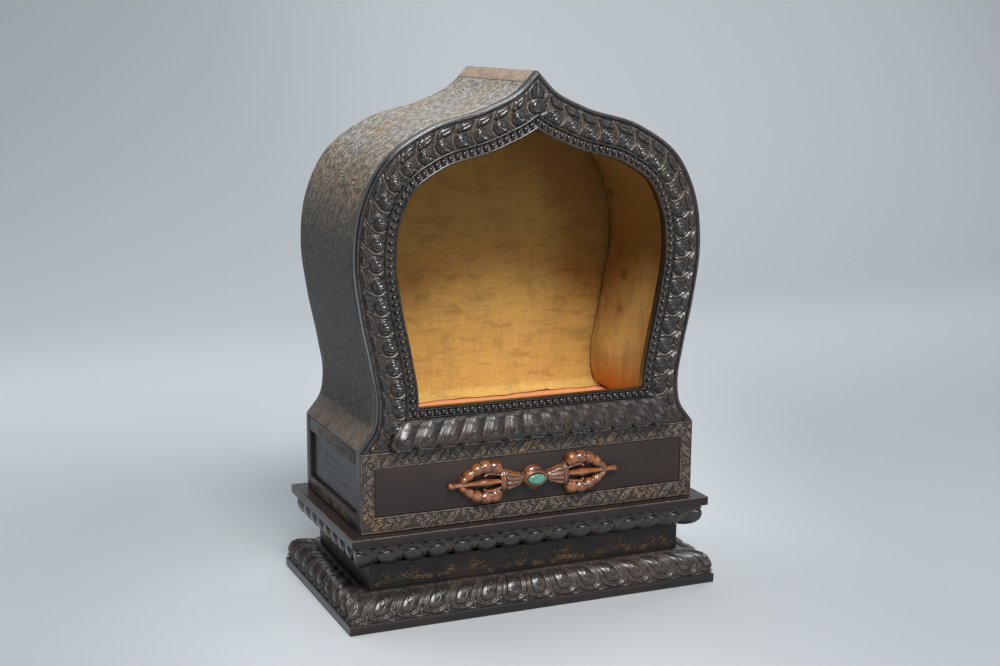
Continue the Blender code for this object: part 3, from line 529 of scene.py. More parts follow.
def orange_cloth(name):
    """Plain salmon-orange cotton."""
    finish = Finish(name, Sheen_Weight=0.3, Sheen_Roughness=0.5, Specular_IOR_Level=0.2)
    warp = finish.cloth_noise(1600.0, 90.0, 2.0, 0.6)
    weft = finish.cloth_noise(90.0, 1600.0, 2.0, 0.6)
    fade = finish.noise(finish.place(of="UV"), 22.0, 4.0, 0.6)
    tone = finish.mix(fade * 0.8 + 0.2, tuple(colours().cloth), (0.620, 0.240, 0.092))
    weave = warp * 0.5 + weft * 0.5
    tone = finish.mix(finish.rises(weave, 0.58, 0.42) * 0.35, tone, (0.560, 0.190, 0.070))
    finish.set("Base Color", tone)
    finish.set("Roughness", 0.85)
    finish.bump(weave, 0.5, 0.0002)
    return finish


def studio_paper(name):
    """Pale matt studio paper, with painted shade to the sides and at the back left, a painted pool of light
    at the back right and a painted shadow behind the shrine.
    """
    finish = Finish(name, Roughness=0.95, Specular_IOR_Level=0.1)
    where = finish.place()
    across = finish.node("ShaderNodeSeparateXYZ", None, {0: where}, output="X")
    deep = finish.node("ShaderNodeSeparateXYZ", None, {0: where}, output="Y")
    side = finish.maths("ABSOLUTE", across * 0.917 - deep * 0.399)
    # Painted shade: the paper darkens away from the shrine to either side.
    painted_side_shade = finish.rises(side, 0.05, 0.36) * finish.rises(deep, 0.9, 0.2)
    # Painted shade at the back left and painted light at the back right.
    far = finish.rises(deep, 0.6, 2.0) * finish.rises(across, 0.7, -0.3)
    painted_back_light = finish.rises(deep, 1.0, 2.2) * finish.rises(across, 0.2, 0.9)
    tone = finish.mix(painted_side_shade, (0.370, 0.393, 0.413), (0.255, 0.274, 0.292))
    tone = finish.mix(far, tone, (0.290, 0.316, 0.336))
    # Painted shadow cast behind the shrine.
    behind = (finish.rises(finish.maths("ABSOLUTE", across + 0.12), 0.26, 0.03)
              * finish.rises(finish.maths("ABSOLUTE", deep - 0.24), 0.26, 0.04))
    tone = finish.mix(behind * 0.75, tone, (0.245, 0.262, 0.274))
    finish.set("Base Color", finish.mix(painted_back_light, tone, (0.480, 0.510, 0.535)))
    return finish


FINISH_MAKERS = {maker.__name__: maker for maker in (
    frame_wood, hood_wood, gilt_lines, boxwood, turquoise, silk, orange_cloth, studio_paper)}


# Meshes from arrays


def linked(name, data):
    """A new object in the scene."""
    made = bpy.data.objects.new(name, data)
    bpy.context.scene.collection.objects.link(made)
    return made


def finished(name, mesh, finish, slot=None, replaced=()):
    """A piece that rides on the body, with its finish and the nodes it stands for."""
    made = linked(name, mesh)
    mesh.materials.clear()
    mesh.materials.append(finish_of(finish))
    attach(made, "root")
    if replaced:
        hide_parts(*replaced)
    return made


def mesh_from(shape, name):
    """The mesh of a BMesh, which is freed, with its faces turned outwards."""
    bmesh.ops.recalc_face_normals(shape, faces=shape.faces)
    mesh = bpy.data.meshes.new(name)
    shape.to_mesh(mesh)
    shape.free()
    return mesh


def applied(holder):
    """The mesh of an object with its modifiers applied. The object goes."""
    bpy.context.view_layer.update()
    graph = bpy.context.evaluated_depsgraph_get()
    mesh = bpy.data.meshes.new_from_object(holder.evaluated_get(graph))
    bpy.data.objects.remove(holder)
    return mesh


def enclosed_volume(points, faces):
    """The signed volume inside faces of four or more corners."""
    total = 0.0
    for face in faces:
        corners = points[face]
        first = corners[:, :1]
        second = corners[:, 1:-1]
        third = corners[:, 2:]
        total += np.sum(np.cross(second, third) * first)
    return total / 6


def mesh_of(name, points, faces, caps=(), values=None, outward=True):
    """A smooth mesh from arrays: faces of four corners, plus any caps, turned outwards."""
    points = points.reshape(-1, 3)
    whole = [faces] + [np.array([cap]) for cap in caps]
    if outward and enclosed_volume(points, whole) < 0:
        whole = [part[:, ::-1] for part in whole]
    mesh = bpy.data.meshes.new(name)
    mesh.from_pydata(points.tolist(), [], [face for part in whole for face in part.tolist()])
    mesh.shade_smooth()
    for face in mesh.polygons[len(mesh.polygons) - len(caps):] if caps else ():
        face.use_smooth = False
    set_values(mesh, values or {})
    return mesh


def set_values(mesh, values):
    """Float attributes that the finishes read, one value for each vertex."""
    for key, value in values.items():
        layer = mesh.attributes.new(key, "FLOAT", "POINT")
        layer.data.foreach_set("value", value.astype(np.float32).ravel())


def grid_faces(rows, columns, wrap_rows, wrap_columns, start=0):
    """Faces of four corners over a grid of points."""
    index = np.arange(rows * columns).reshape(rows, columns) + start
    below = np.roll(index, -1, 0) if wrap_rows else index
    near = index if wrap_rows else index[:-1]
    far = below if wrap_rows else index[1:]
    if wrap_columns:
        return np.stack((near, np.roll(near, -1, 1), np.roll(far, -1, 1), far), -1).reshape(-1, 4)
    return np.stack((near[:, :-1], near[:, 1:], far[:, 1:], far[:, :-1]), -1).reshape(-1, 4)


def row_caps(rows, width):
    """Caps over the first and last rows of a grid."""
    return [list(range(width))[::-1], list(range((rows - 1) * width, rows * width))]


def end_caps(rows, width):
    """Caps over the first and last columns of a grid."""
    return [[row * width for row in range(rows)],
            [row * width + width - 1 for row in range(rows)][::-1]]


def rim_of(grid):
    """The border of a grid, once round."""
    return np.concatenate((grid[0], grid[1:, -1], grid[-1, -2::-1], grid[-2:0:-1, 0]))


def upright(loop, y):
    """Flat (x, z) points stood up at a depth."""
    return np.stack((loop[:, 0], np.full(len(loop), y), loop[:, 1]), -1)


def set_flat_map(mesh, points):
    """A UV map in metres from one flat point for each vertex."""
    layer = mesh.uv_layers.new(name="flat")
    corners = np.empty(len(mesh.loops), dtype=np.int32)
    mesh.loops.foreach_get("vertex_index", corners)
    layer.data.foreach_set("uv", points.reshape(-1, 2)[corners].astype(np.float32).ravel())


def soft_block(name, low, high, edge, finish, slot, replaced):
    """A board between two corners with rounded edges."""
    shape = bmesh.new()
    bmesh.ops.create_cube(shape, size=1.0)
    low = Vector(low)
    high = Vector(high)
    for corner in shape.verts:
        corner.co = Vector([(low[axis] + high[axis]) / 2 + corner.co[axis] * (high[axis] - low[axis])
                            for axis in range(3)])
    bmesh.ops.bevel(shape, geom=shape.edges[:], offset=edge, segments=3, profile=0.5, affect="EDGES")
    mesh = mesh_from(shape, name)
    mesh.shade_smooth()
    mesh.set_sharp_from_angle(angle=math.radians(40))
    return finished(name, mesh, finish, slot, replaced)


def blurred(field, reach, wrap_rows=False, wrap_columns=True):
    """A field softened over reach cells each way."""
    for axis, wrap in ((0, wrap_rows), (1, wrap_columns)):
        for _ in range(2):
            pad = [(0, 0), (0, 0)]
            pad[axis] = (reach, reach)
            wide = np.pad(field, pad, mode="wrap" if wrap else "edge")
            total = np.insert(np.cumsum(wide, axis=axis), 0, 0.0, axis=axis)
            window = 2 * reach + 1
            if axis == 0:
                field = (total[window:] - total[:-window]) / window
            else:
                field = (total[:, window:] - total[:, :-window]) / window
    return field


def wear_of(relief, reach=4, crest=0.30, hollow=0.40, wrap=True):
    """Where a relief in millimetres stands out from and lies below its surroundings."""
    change = relief - blurred(relief, reach, False, wrap)
    return {
        "crest": np.clip((change - 0.06) / crest, 0.0, 1.0),
        "hollow": np.clip((-change - 0.10) / hollow, 0.0, 1.0),
    }


def padded(values, before, after):
    """Values for a whole piece: nothing on the plain rows before and after the carved ones."""
    return {key: np.pad(value, ((before, after), (0, 0))) for key, value in values.items()}


# Drawing in relief, in millimetres


def smooth_run(knots, samples):
    """A smooth run of points through knots."""
    knots = np.array(knots, dtype=float)
    step = np.linalg.norm(np.diff(knots, axis=0), axis=1)
    unit = np.diff(knots, axis=0) / step[:, None]
    slopes = [unit[0]]
    for index in range(1, len(knots) - 1):
        near, far = step[index - 1], step[index]
        slopes.append((unit[index - 1] * far + unit[index] * near) / (near + far))
    slopes.append(unit[-1])
    points = []
    for index in range(len(knots) - 1):
        for part in range(samples):
            t = part / samples
            points.append(
                knots[index] * (2 * t ** 3 - 3 * t ** 2 + 1)
                + slopes[index] * step[index] * (t ** 3 - 2 * t ** 2 + t)
                + knots[index + 1] * (3 * t ** 2 - 2 * t ** 3)
                + slopes[index + 1] * step[index] * (t ** 3 - t ** 2)
            )
    points.append(knots[-1])
    return np.array(points)


def lengths_of(points):
    """The distance walked to each point of a run."""
    return np.concatenate(([0.0], np.cumsum(np.linalg.norm(np.diff(points, axis=0), axis=1))))


def even_run(points, count, extra=None):
    """Points at equal steps along a run, and an extra value carried with them."""
    walked = lengths_of(points)
    wanted = np.linspace(0.0, walked[-1], count)
    even = np.stack([np.interp(wanted, walked, points[:, axis]) for axis in range(points.shape[1])], -1)
    if extra is None:
        return even
    return even, np.interp(wanted, walked, extra)


def line_distance(across, up, points):
    """How far each place is from a run of straight pieces."""
    nearest = np.full(across.shape, 1e9)
    for (x0, y0), (x1, y1) in zip(points, points[1:]):
        run_x, run_y = x1 - x0, y1 - y0
        share = ((across - x0) * run_x + (up - y0) * run_y) / (run_x * run_x + run_y * run_y + 1e-12)
        share = np.clip(share, 0.0, 1.0)
        nearest = np.minimum(nearest, np.hypot(across - x0 - share * run_x, up - y0 - share * run_y))
    return nearest


def ridge(distance, half_width):
    """A rounded ridge: one on its line, nothing beyond its half width."""
    return np.clip(1.0 - (distance / half_width) ** 2, 0.0, 1.0)


def drawn(across, up, strokes):
    """The highest of several ridges: each stroke is (points, half width, height)."""
    height = np.zeros(across.shape)
    for points, half_width, rise in strokes:
        height = np.maximum(height, rise * ridge(line_distance(across, up, points), half_width))
    return height


def inside(across, up, outline):
    """The distance in from an outline's edge, negative outside it."""
    closed = list(outline) + [outline[0]]
    within = np.zeros(across.shape, dtype=bool)
    for (x0, y0), (x1, y1) in zip(closed, closed[1:]):
        crosses = (y0 > up) != (y1 > up)
        within ^= crosses & (across < (x1 - x0) * (up - y0) / (y1 - y0 + 1e-12) + x0)
    return np.where(within, 1.0, -1.0) * line_distance(across, up, closed)


def spiral(centre, radius, start, turns, end_radius=0.3, steps=10):
    """A spiral inwards from radius, starting at an angle in turns; negative turns go clockwise."""
    share = np.linspace(0.0, 1.0, max(4, int(abs(turns) * steps)))
    angle = (start + share * turns) * 2 * math.pi
    reach = radius + (end_radius - radius) * share
    return [(centre[0] + r * math.cos(a), centre[1] + r * math.sin(a)) for r, a in zip(reach, angle)]


def arc(centre, radius, start, end, steps=8):
    """Part of a circle between two angles in turns."""
    return [(centre[0] + radius * math.cos(turn * 2 * math.pi),
             centre[1] + radius * math.sin(turn * 2 * math.pi)) for turn in np.linspace(start, end, steps)]


def smoothed(points, samples=5):
    """A drawn stroke with its corners rounded."""
    return [tuple(point) for point in smooth_run(points, samples)]


# Mouldings that go round a rectangle


def ring_shares(half, spacing):
    """Even places along the front and side of a rectangle, from -1 up to, not including, 1."""
    return [np.linspace(-1.0, 1.0, int(2 * length / spacing) + 1)[:-1] for length in half]


def ring_places(shares):
    """The side and share of every place round a rectangle."""
    side = np.concatenate([np.full(len(shares[side % 2]), side) for side in range(4)])
    return side, np.concatenate([shares[side % 2] for side in range(4)])


def petal_place(side, share, counts, half, corner):
    """Each place's position across its petal, from -1 to 1. A petal of its own turns each corner."""
    length = np.where(side % 2 == 0, half[0], half[1])
    count = np.where(side % 2 == 0, counts[0], counts[1])
    edge = 1.0 - corner / length
    walked = (share + edge) * count / (2 * edge)
    across = (walked - np.floor(walked)) * 2.0 - 1.0
    past = np.abs(share) > edge
    at_corner = (1.0 - (np.abs(share) - edge) / (1.0 - edge)) * np.sign(share)
    return np.where(past, -at_corner, across)


def ring_row(side, share, half_x, half_y, level):
    """Points round a rectangle: front, right, back and left."""
    sides = [side == 0, side == 1, side == 2]
    flat = 0 * share
    x = np.select(sides, [share * half_x, half_x + flat, -share * half_x], -half_x + flat)
    y = np.select(sides, [-half_y + flat, share * half_y, half_y + flat], -share * half_y)
    return np.stack((x, y, level + 0 * share), -1)


def moulding_rows(profile, spacing, inner, outer, base, height):
    """Even rows down a profile: share out, level, its face's way out and way up, and the way walked."""
    scale = np.array((outer[0] - inner[0], height))
    run = even_run(smooth_run(profile, 12) * scale, 400)
    rows = int(lengths_of(run)[-1] / spacing) + 1
    run = even_run(run, rows)
    along = np.gradient(run, axis=0)
    along /= np.linalg.norm(along, axis=1)[:, None]
    out_way, up_way = -along[:, 1], along[:, 0]
    if profile[0][1] < profile[-1][1]:
        out_way, up_way = along[:, 1], -along[:, 0]
    walked = lengths_of(run)
    return run[:, 0] / scale[0], base + run[:, 1], out_way, up_way, walked


def lifted_rows(side, share, profile, lift, outer, lean=0.0):
    """Rows of a moulding round the waist, lifted off its profile; lean slants the petals inwards."""
    rows = []
    for row, (out, level, out_way, up_way, _) in enumerate(zip(*profile)):
        halves = [near + out * (far - near) + lift[row] * out_way for near, far in zip(WAIST_HALF, outer)]
        moved = share - lean * (1.0 - out) * np.sin(math.pi * share)
        rows.append(ring_row(side, moved, *halves, level + lift[row] * up_way))
    return rows


def rings_in(side, share, half, steps):
    """Plain rings: how far each one is in from a rectangle, and its level."""
    return [ring_row(side, share, half[0] - inward, half[1] - inward, level) for inward, level in steps]


def petal_edge(across, up, half, bend, power=2.6):
    """The distance in from the edge of an upright petal with a rounded foot at up = 0."""
    low = np.clip((bend - up) / bend, 0.0, None)
    size = (np.abs(across / half) ** power + low ** power) ** (1.0 / power)
    return half * (1.0 - size)


# The arch's curves


def arch_outline():
    """The right half of the arch's outer edge, tip first."""
    knots = [(x * ARCH_HALF, ARCH_BASE + z * ARCH_HEIGHT) for x, z in ARCH_SHAPE]
    return smooth_run(knots + [(BOX_HALF, ARCH_BASE)], 40)


OUTLINE = arch_outline()
OUTLINE_WAY = np.gradient(OUTLINE, axis=0)
OUTLINE_IN = np.stack((OUTLINE_WAY[:, 1], -OUTLINE_WAY[:, 0]), -1)
OUTLINE_IN /= np.linalg.norm(OUTLINE_IN, axis=1)[:, None]
OUTLINE_PLACE = np.arange(len(OUTLINE), dtype=float)


def inset_line(inset, floor_level):
    """The outline moved inwards, from the middle plane down to a level, with each point's place."""
    amount = inset(OUTLINE_PLACE / OUTLINE_PLACE[-1]) if callable(inset) else np.full(len(OUTLINE), inset)
    moved = OUTLINE + OUTLINE_IN * amount[:, None]
    both = np.column_stack((moved, OUTLINE_PLACE))
    crossed = np.nonzero((both[:-1, 0] < 0) & (both[1:, 0] >= 0))[0]
    if len(crossed):
        first = crossed[-1]
        share = both[first, 0] / (both[first, 0] - both[first + 1, 0])
        start = both[first] + (both[first + 1] - both[first]) * share
        both = np.vstack((start, both[first + 1:]))
    both[0, 0] = 0.0
    low = np.nonzero(both[:, 1] <= floor_level)[0]
    if len(low):
        last = low[0]
        share = (both[last - 1, 1] - floor_level) / (both[last - 1, 1] - both[last, 1])
        end = both[last - 1] + (both[last] - both[last - 1]) * share
        both = np.vstack((both[:last], end))
    else:
        both = np.vstack((both, (both[-1, 0], floor_level, both[-1, 2] + 1.0)))
    return both[:, :2], both[:, 2]


def arch_ring(inset, level, half_count, sill_count):
    """A closed loop at an inset: tip, right leg, sill and left leg.

    Each point's place on the outline comes with it, -1 on the sill.
    """
    points, place = inset_line(inset, level)
    right, place = even_run(points, half_count, place)
    foot = right[-1]
    sill_x = np.linspace(foot[0], -foot[0], sill_count + 2)[1:-1]
    sill = np.stack((sill_x, np.full(sill_count, foot[1])), -1)
    left = right[::-1][:-1] * (-1.0, 1.0)
    loop = np.vstack((right, sill, left))
    places = np.concatenate((place, np.full(sill_count, -1.0), place[::-1][:-1]))
    return loop, places


def arch_strip(inset, level, count):
    """The arch from the left foot over the tip to the right foot."""
    right, _ = inset_line(inset, level)
    right = even_run(right, count)
    return np.vstack((right[::-1] * (-1.0, 1.0), right[1:]))


def sill_level(inset):
    """The level of a loop's bottom run: the rims and beads pass under the opening too."""
    outermost, fall = 0.0216, 0.0073
    return SILL_LEVEL - (OPENING_INSET - inset) * fall / (OPENING_INSET - outermost)


# The stage


class SHRINE_OT_stage(bpy.types.Operator):
    """Camera, pale floor and backdrop, and soft studio lights"""

    bl_idname = "shrine.stage"
    bl_label = "Stage"

    def execute(self, context):
        turn, tilt, roll = CAMERA_TURN, CAMERA_TILT, CAMERA_ROLL
        look = Vector((-math.sin(turn) * math.cos(tilt), math.cos(turn) * math.cos(tilt), -math.sin(tilt)))
        right = Vector((math.cos(turn), math.sin(turn), 0.0))
        up = right.cross(look)
        level_right = right * math.cos(roll) + up * math.sin(roll)
        level_up = -right * math.sin(roll) + up * math.cos(roll)
        lens = bpy.data.cameras.new("camera")
        lens.lens = CAMERA_LENS
        lens.sensor_width = CAMERA_SENSOR
        lens.clip_start = 0.01
        camera = linked("camera", lens)
        ways = [(level_right[axis], level_up[axis], -look[axis], CAMERA_PLACE[axis]) for axis in range(3)]
        camera.matrix_world = Matrix((*ways, (0.0, 0.0, 0.0, 1.0)))
        context.scene.camera = camera

        sweep = [(-3.0, 0.0), (1.1, 0.0)]
        sweep += [(1.1 + 1.2 * math.sin(turn), 1.2 - 1.2 * math.cos(turn))
                  for turn in np.linspace(0.1, math.pi / 2, 16)]
        sweep.append((2.3, 4.0))
        rows = np.array([[(x, y, z - 0.0001) for x in np.linspace(-4.0, 4.0, 3)] for y, z in sweep])
        mesh = mesh_of("studio_paper", rows, grid_faces(len(sweep), 3, False, False), outward=False)
        mesh.materials.append(finish_of("studio_paper"))
        linked("studio_paper", mesh)

        middle = Vector((0.0, 0.0, 0.2))
        for name, place, size, power, colour in (
            ("key_light", (-0.26, -1.45, 2.02), 0.80, 78.0, (1.0, 0.985, 0.965)),
            ("top_light", (-0.20, 0.60, 1.9), 1.2, 32.0, (0.95, 0.98, 1.0)),
            ("front_light", (0.60, -1.90, 0.42), 0.45, 4.6, (1.0, 0.99, 0.98)),
            ("side_light", (1.7, -0.9, 1.3), 0.80, 7.0, (0.95, 0.98, 1.0)),
            ("paper_light", (2.2, 1.4, 2.2), 1.6, 26.0, (0.95, 0.98, 1.0)),
        ):
            lamp = bpy.data.lights.new(name, "AREA")
            lamp.size = size
            lamp.energy = power
            lamp.color = colour
            light = linked(name, lamp)
            light.location = place
            light.rotation_euler = (middle - light.location).to_track_quat("-Z", "Y").to_euler()
        world = bpy.data.worlds.new("studio_air")
        world.use_nodes = True
        air = world.node_tree.nodes["Background"].inputs
        air["Color"].default_value = (0.84, 0.89, 0.96, 1.0)
        air["Strength"].default_value = 0.12
        context.scene.world = world
        context.scene.view_settings.view_transform = "Standard"
        return {"FINISHED"}


# The plinth


def petal_carving(across, up, half, length, bend, fine=1.0, thin=1.0):
    """A lotus petal in millimetres: two thin rims, a full pillow and a scroll on it.

    fine is how much of the scroll shows, and thin narrows the rims.
    """
    depth = petal_edge(across, up, half, bend)
    share = np.clip(depth / half, 0.0, 1.0)
    depth = depth * thin
    swell = np.clip((depth - 3.9) / (half * thin - 3.9), 0.0, 1.0)
    body = 1.0 * share ** 0.5 + 1.5 / thin * np.sqrt(1.0 - (1.0 - swell) ** 2)
    rims = (0.95 * ridge(depth - 1.15, 0.85) + 0.80 * ridge(depth - 2.95, 0.80)) * (0.7 + 0.3 * fine)
    cuts = (0.55 * ridge(depth - 0.1, 0.55) + 0.50 * ridge(depth - 2.05, 0.50)
            + 0.65 * ridge(depth - 3.95, 0.55))
    field = np.clip((depth - 4.6) / 0.9, 0.0, 1.0) * fine
    scroll = drawn(across, up, [
        (spiral((-0.4, length * 0.46), 2.3, 0.30, -1.35), 0.50, 0.50),
        (smoothed([(2.4, length * 0.28), (3.3, length * 0.42), (1.8, length * 0.56),
                   (-1.0, length * 0.64)]), 0.45, 0.40),
        (smoothed([(-3.2, length * 0.32), (-1.2, length * 0.27), (1.8, length * 0.28)]), 0.42, 0.35),
    ])
    return body + rims - cuts + scroll * field, depth


def foot_petals(across, up, half, length):
    """The foot's petals: the carving, and scallops turned up along their lower tips."""
    height, depth = petal_carving(across, up, half, length, 9.5)
    place = np.clip(across / half, -1.0, 1.0)
    scallop = np.abs(np.cos(place * math.pi * 1.5)) ** 0.7
    lip = np.clip(1.0 - up / 4.2, 0.0, 1.0) * np.exp(-((depth - 1.0) / 1.0) ** 2)
    height += 0.9 * lip * scallop
    spread = 0.9 + 0.25 * np.clip(6.0 - up, 0, 6)
    wedge = np.clip(1.0 - up / 6.0, 0.0, 1.0) * ridge(half - np.abs(across), spread)
    return np.where(depth < 0.2, height + 0.9 * wedge, height)


class SHRINE_OT_foot(bpy.types.Operator):
    """The foot: a ring of leaning lotus petals over a plain fillet"""

    bl_idname = "shrine.foot"
    bl_label = "Foot"

    def execute(self, context):
        column_step, row_step = 0.00060, 0.00058
        corner = 0.0110
        half = 10.8
        lean = 0.060
        side, share = ring_places(ring_shares(FOOT_HALF, column_step))
        profile = moulding_rows(FOOT_PROFILE, row_step, WAIST_HALF, FOOT_HALF, 0.0, FOOT_HEIGHT)
        walked = profile[-1]
        place = petal_place(side, share, PETAL_COUNTS, FOOT_HALF, corner)
        length = walked[-1] / MM
        up = (length - walked / MM)[:, None] + 0 * share[None, :]
        fade = np.clip(walked / 0.0022, 0.0, 1.0)[:, None]
        carving = foot_petals(place[None, :] * half + 0 * up, up, half, length) * fade
        lift = (carving / 3.0 - 0.60) * sizes().foot_relief * fade
        rows = lifted_rows(side, share, profile, lift, FOOT_HALF, lean)
        edge = 0.0005
        margin = 0.0035
        top = rings_in(side, share, WAIST_HALF, [(WAIST_BOARD, FOOT_HEIGHT), (-margin, FOOT_HEIGHT)])
        low = rings_in(side, share, FOOT_HALF, [
            (0.0012, FOOT_EDGE), (edge, FOOT_EDGE), (edge * 0.3, FOOT_EDGE - edge * 0.3),
            (0.0, FOOT_EDGE - edge), (0.0, edge), (edge, 0.0)])
        low += rings_in(side, share, WAIST_HALF, [(WAIST_BOARD, 0.0)])
        points = np.array(top + rows + low)
        mesh = mesh_of("foot_petals", points, grid_faces(len(points), len(share), True, True),
                       values=padded(wear_of(carving), len(top), len(low)))
        finished("foot_petals", mesh, "carved_wood", "dark_wood", ["foot_moulding"])
        return {"FINISHED"}


def lobe_carving(across, up, half, length):
    """A round lobe hanging from the slab under two small arcs, and where the arcs run."""
    place = across / half
    bend = 2.4
    reach = np.abs(across / (half * 0.97)) ** bend + np.abs((up - length * 0.43) / (length * 0.46)) ** bend
    ball = 4.7 * np.clip(1.0 - reach ** (2 / bend), 0.0, 1.0) ** 0.62
    head = length - 0.5 - 1.5 * (1.0 - np.abs(np.sin(math.pi * place)) ** 0.7) - 1.2 * np.abs(place) ** 8
    under = np.clip((head - up) / 0.5, 0.0, 1.0) * np.clip((up - length * 0.40) / 2.0, 0.0, 1.0)
    arcs = ridge(head - up - 0.60, 0.70)
    scroll = drawn(across, up, [
        (spiral((-2.2, length * 0.38), 2.0, 0.0, 1.1), 0.50, 0.36),
        (spiral((2.2, length * 0.38), 2.0, 0.5, -1.1), 0.50, 0.36),
        (smoothed([(-5.0, length * 0.46), (-3.0, length * 0.56), (0.0, length * 0.50), (3.0, length * 0.56),
                   (5.0, length * 0.46)]), 0.45, 0.25),
    ]) * np.clip((ball - 2.4) / 1.0, 0.0, 1.0)
    return np.maximum(np.maximum(ball, 1.2 * under) + scroll, 2.9 * arcs), arcs


class SHRINE_OT_cornice(bpy.types.Operator):
    """The slab, with cloud-headed lobes under its edge"""

    bl_idname = "shrine.cornice"
    bl_label = "Cornice"

    def execute(self, context):
        overhang = 0.0015
        spacing = 0.0006
        corner = 0.0130
        half = 10.2
        outer = (SLAB_HALF[0] - overhang, SLAB_HALF[1] - overhang)
        side, share = ring_places(ring_shares(outer, spacing))
        profile = moulding_rows(
            LOBE_PROFILE, spacing, WAIST_HALF, outer, CORNICE_BASE, SLAB_EDGE_BASE - CORNICE_BASE)
        walked = profile[-1]
        place = petal_place(side, share, PETAL_COUNTS, outer, corner)
        up = (walked / MM)[:, None] + 0 * share[None, :]
        carving, arcs = lobe_carving(place[None, :] * half + 0 * up, up, half, walked[-1] / MM)
        lift = (carving / 3.8 - 0.68) * sizes().lobe_relief
        rows = lifted_rows(side, share, profile, lift, outer)
        edge = 0.0005
        first = rings_in(side, share, WAIST_HALF, [
            (WAIST_BOARD, SLAB_TOP - SLAB_PLATE), (WAIST_BOARD, CORNICE_BASE)])
        last = rings_in(side, share, SLAB_HALF, [
            (edge, SLAB_EDGE_BASE), (0.0, SLAB_EDGE_BASE + edge), (0.0, SLAB_TOP - edge * 1.8),
            (0.0, SLAB_TOP - edge), (edge * 0.3, SLAB_TOP - edge * 0.3), (edge, SLAB_TOP),
            (0.002, SLAB_TOP)])
        points = np.array(first + rows + last)
        total, width = points.shape[:2]
        values = padded(wear_of(carving), len(first), len(last))
        lobes = slice(len(first), len(first) + len(rows))
        values["crest"][lobes] *= 0.3
        for key in ("pale", "shine"):
            values[key] = np.zeros((total, width))
        values["pale"][-4:-1] = ((0.10,), (0.45,), (0.20,))
        values["pale"][lobes] = arcs * 0.30
        values["shine"][lobes] = 1.0
        faces = grid_faces(total, width, False, True)[:, ::-1]
        mesh = mesh_of("cornice_lobes", points, faces, row_caps(total, width), values)
        finished("cornice_lobes", mesh, "slab_wood", "dark_wood", ["cornice_slab"])
        return {"FINISHED"}


# Gilt lines laid on plain wood


def laid_lines(name, runs, lay):
    """Thin closed lines of gold: runs of flat points in millimetres, put in place by lay."""
    half_width, rise, bedded = 0.20, 0.10, -0.05
    points = []
    faces = []
    for run in runs:
        flat = np.array(run, dtype=float)
        way = np.gradient(flat, axis=0)
        way /= np.linalg.norm(way, axis=1)[:, None] + 1e-9
        beside = np.stack((-way[:, 1], way[:, 0]), -1) * half_width
        start = len(points)
        for spot, offset in zip(flat, beside):
            for flat_point, proud in ((spot - offset, bedded), (spot, rise), (spot + offset, bedded)):
                points.append(lay(flat_point[0] * MM, flat_point[1] * MM, proud * MM))
        for step in range(len(flat) - 1):
            near = start + step * 3
            for corner in range(3):
                beside_it = (corner + 1) % 3
                faces.append((near + corner, near + beside_it, near + 3 + beside_it, near + 3 + corner))
        faces.append((start, start + 1, start + 2))
        last = start + (len(flat) - 1) * 3
        faces.append((last + 2, last + 1, last))
    shape = bmesh.new()
    corners = [shape.verts.new(point) for point in points]
    for face in faces:
        shape.faces.new([corners[index] for index in face])
    mesh = mesh_from(shape, name)
    mesh.shade_smooth()
    return finished(name, mesh, "gilt_lines", "dark_wood")


def cloud_scrolls(length, height, draw):
    """Broken banks of double crescents along a strip, with a few larger curls over them."""
    pitch = 5.8
    runs = []
    place = -length / 2 + draw.uniform(3, 8)
    while place < length / 2 - 16:
        curls = min(int(draw.integers(5, 10)), int((length / 2 - place - 3) / pitch))
        low = height * draw.uniform(0.14, 0.26)
        for curl in range(curls):
            bulk = math.sin(math.pi * (curl + 0.5) / curls)
            middle = (place + 3.0 + curl * pitch, low + draw.uniform(0.0, 1.0) + 3.0 * bulk)
            size = draw.uniform(2.4, 3.3)
            way = draw.uniform(-0.08, 0.08)
            runs.append(arc(middle, size, 0.50 + way, 1.00 + way))
            runs.append(arc((middle[0], middle[1] + 0.2), size * 0.52, 0.48 + way, 1.06 + way, 7))
            if bulk > 0.6 and draw.uniform() > 0.5:
                runs.append(arc((middle[0] + 2.3, middle[1] + 2.9), size * 0.9, 0.50, 1.00))
        for share in (0.25, 0.70):
            high = (place + curls * pitch * share + draw.uniform(-3, 3), height * draw.uniform(0.62, 0.74))
            size = draw.uniform(1.8, 2.8)
            runs.append(spiral(high, size, 0.6, -1.3))
            runs.append(arc(high, size + 0.9, 0.98, 0.52))
            runs.append(arc((high[0] + size + 3.4, high[1] - 0.8), size * 0.8, 0.50, 1.0))
        place += curls * pitch + draw.uniform(1.5, 5.0)
    return runs


def lay_on(side, half_x, half_y, base):
    """A way to put flat points on one upright side of a box: along it, up it, and out of it."""
    def lay(along, up, proud):
        if side == 0:
            return Vector((along, -half_y - proud, base + up))
        if side == 1:
            return Vector((half_x + proud, along, base + up))
        if side == 2:
            return Vector((-along, half_y + proud, base + up))
        return Vector((-half_x - proud, -along, base + up))
    return lay


class SHRINE_OT_waist(bpy.types.Operator):
    """The set-back waist and its faded gilt cloud scrolls"""

    bl_idname = "shrine.waist"
    bl_label = "Waist"

    def execute(self, context):
        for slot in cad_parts["waist_frame"].material_slots:
            slot.material = finish_of("waist_wood")
        draw = np.random.default_rng(11)
        height = (WAIST_TOP - WAIST_BASE) / MM
        for side, word in enumerate(("front", "right", "back", "left")):
            length = 2 * WAIST_HALF[side % 2] / MM
            runs = cloud_scrolls(length, height, draw)
            laid_lines("waist_scrolls_" + word, runs, lay_on(side, *WAIST_HALF, WAIST_BASE))
        return {"FINISHED"}


# The box


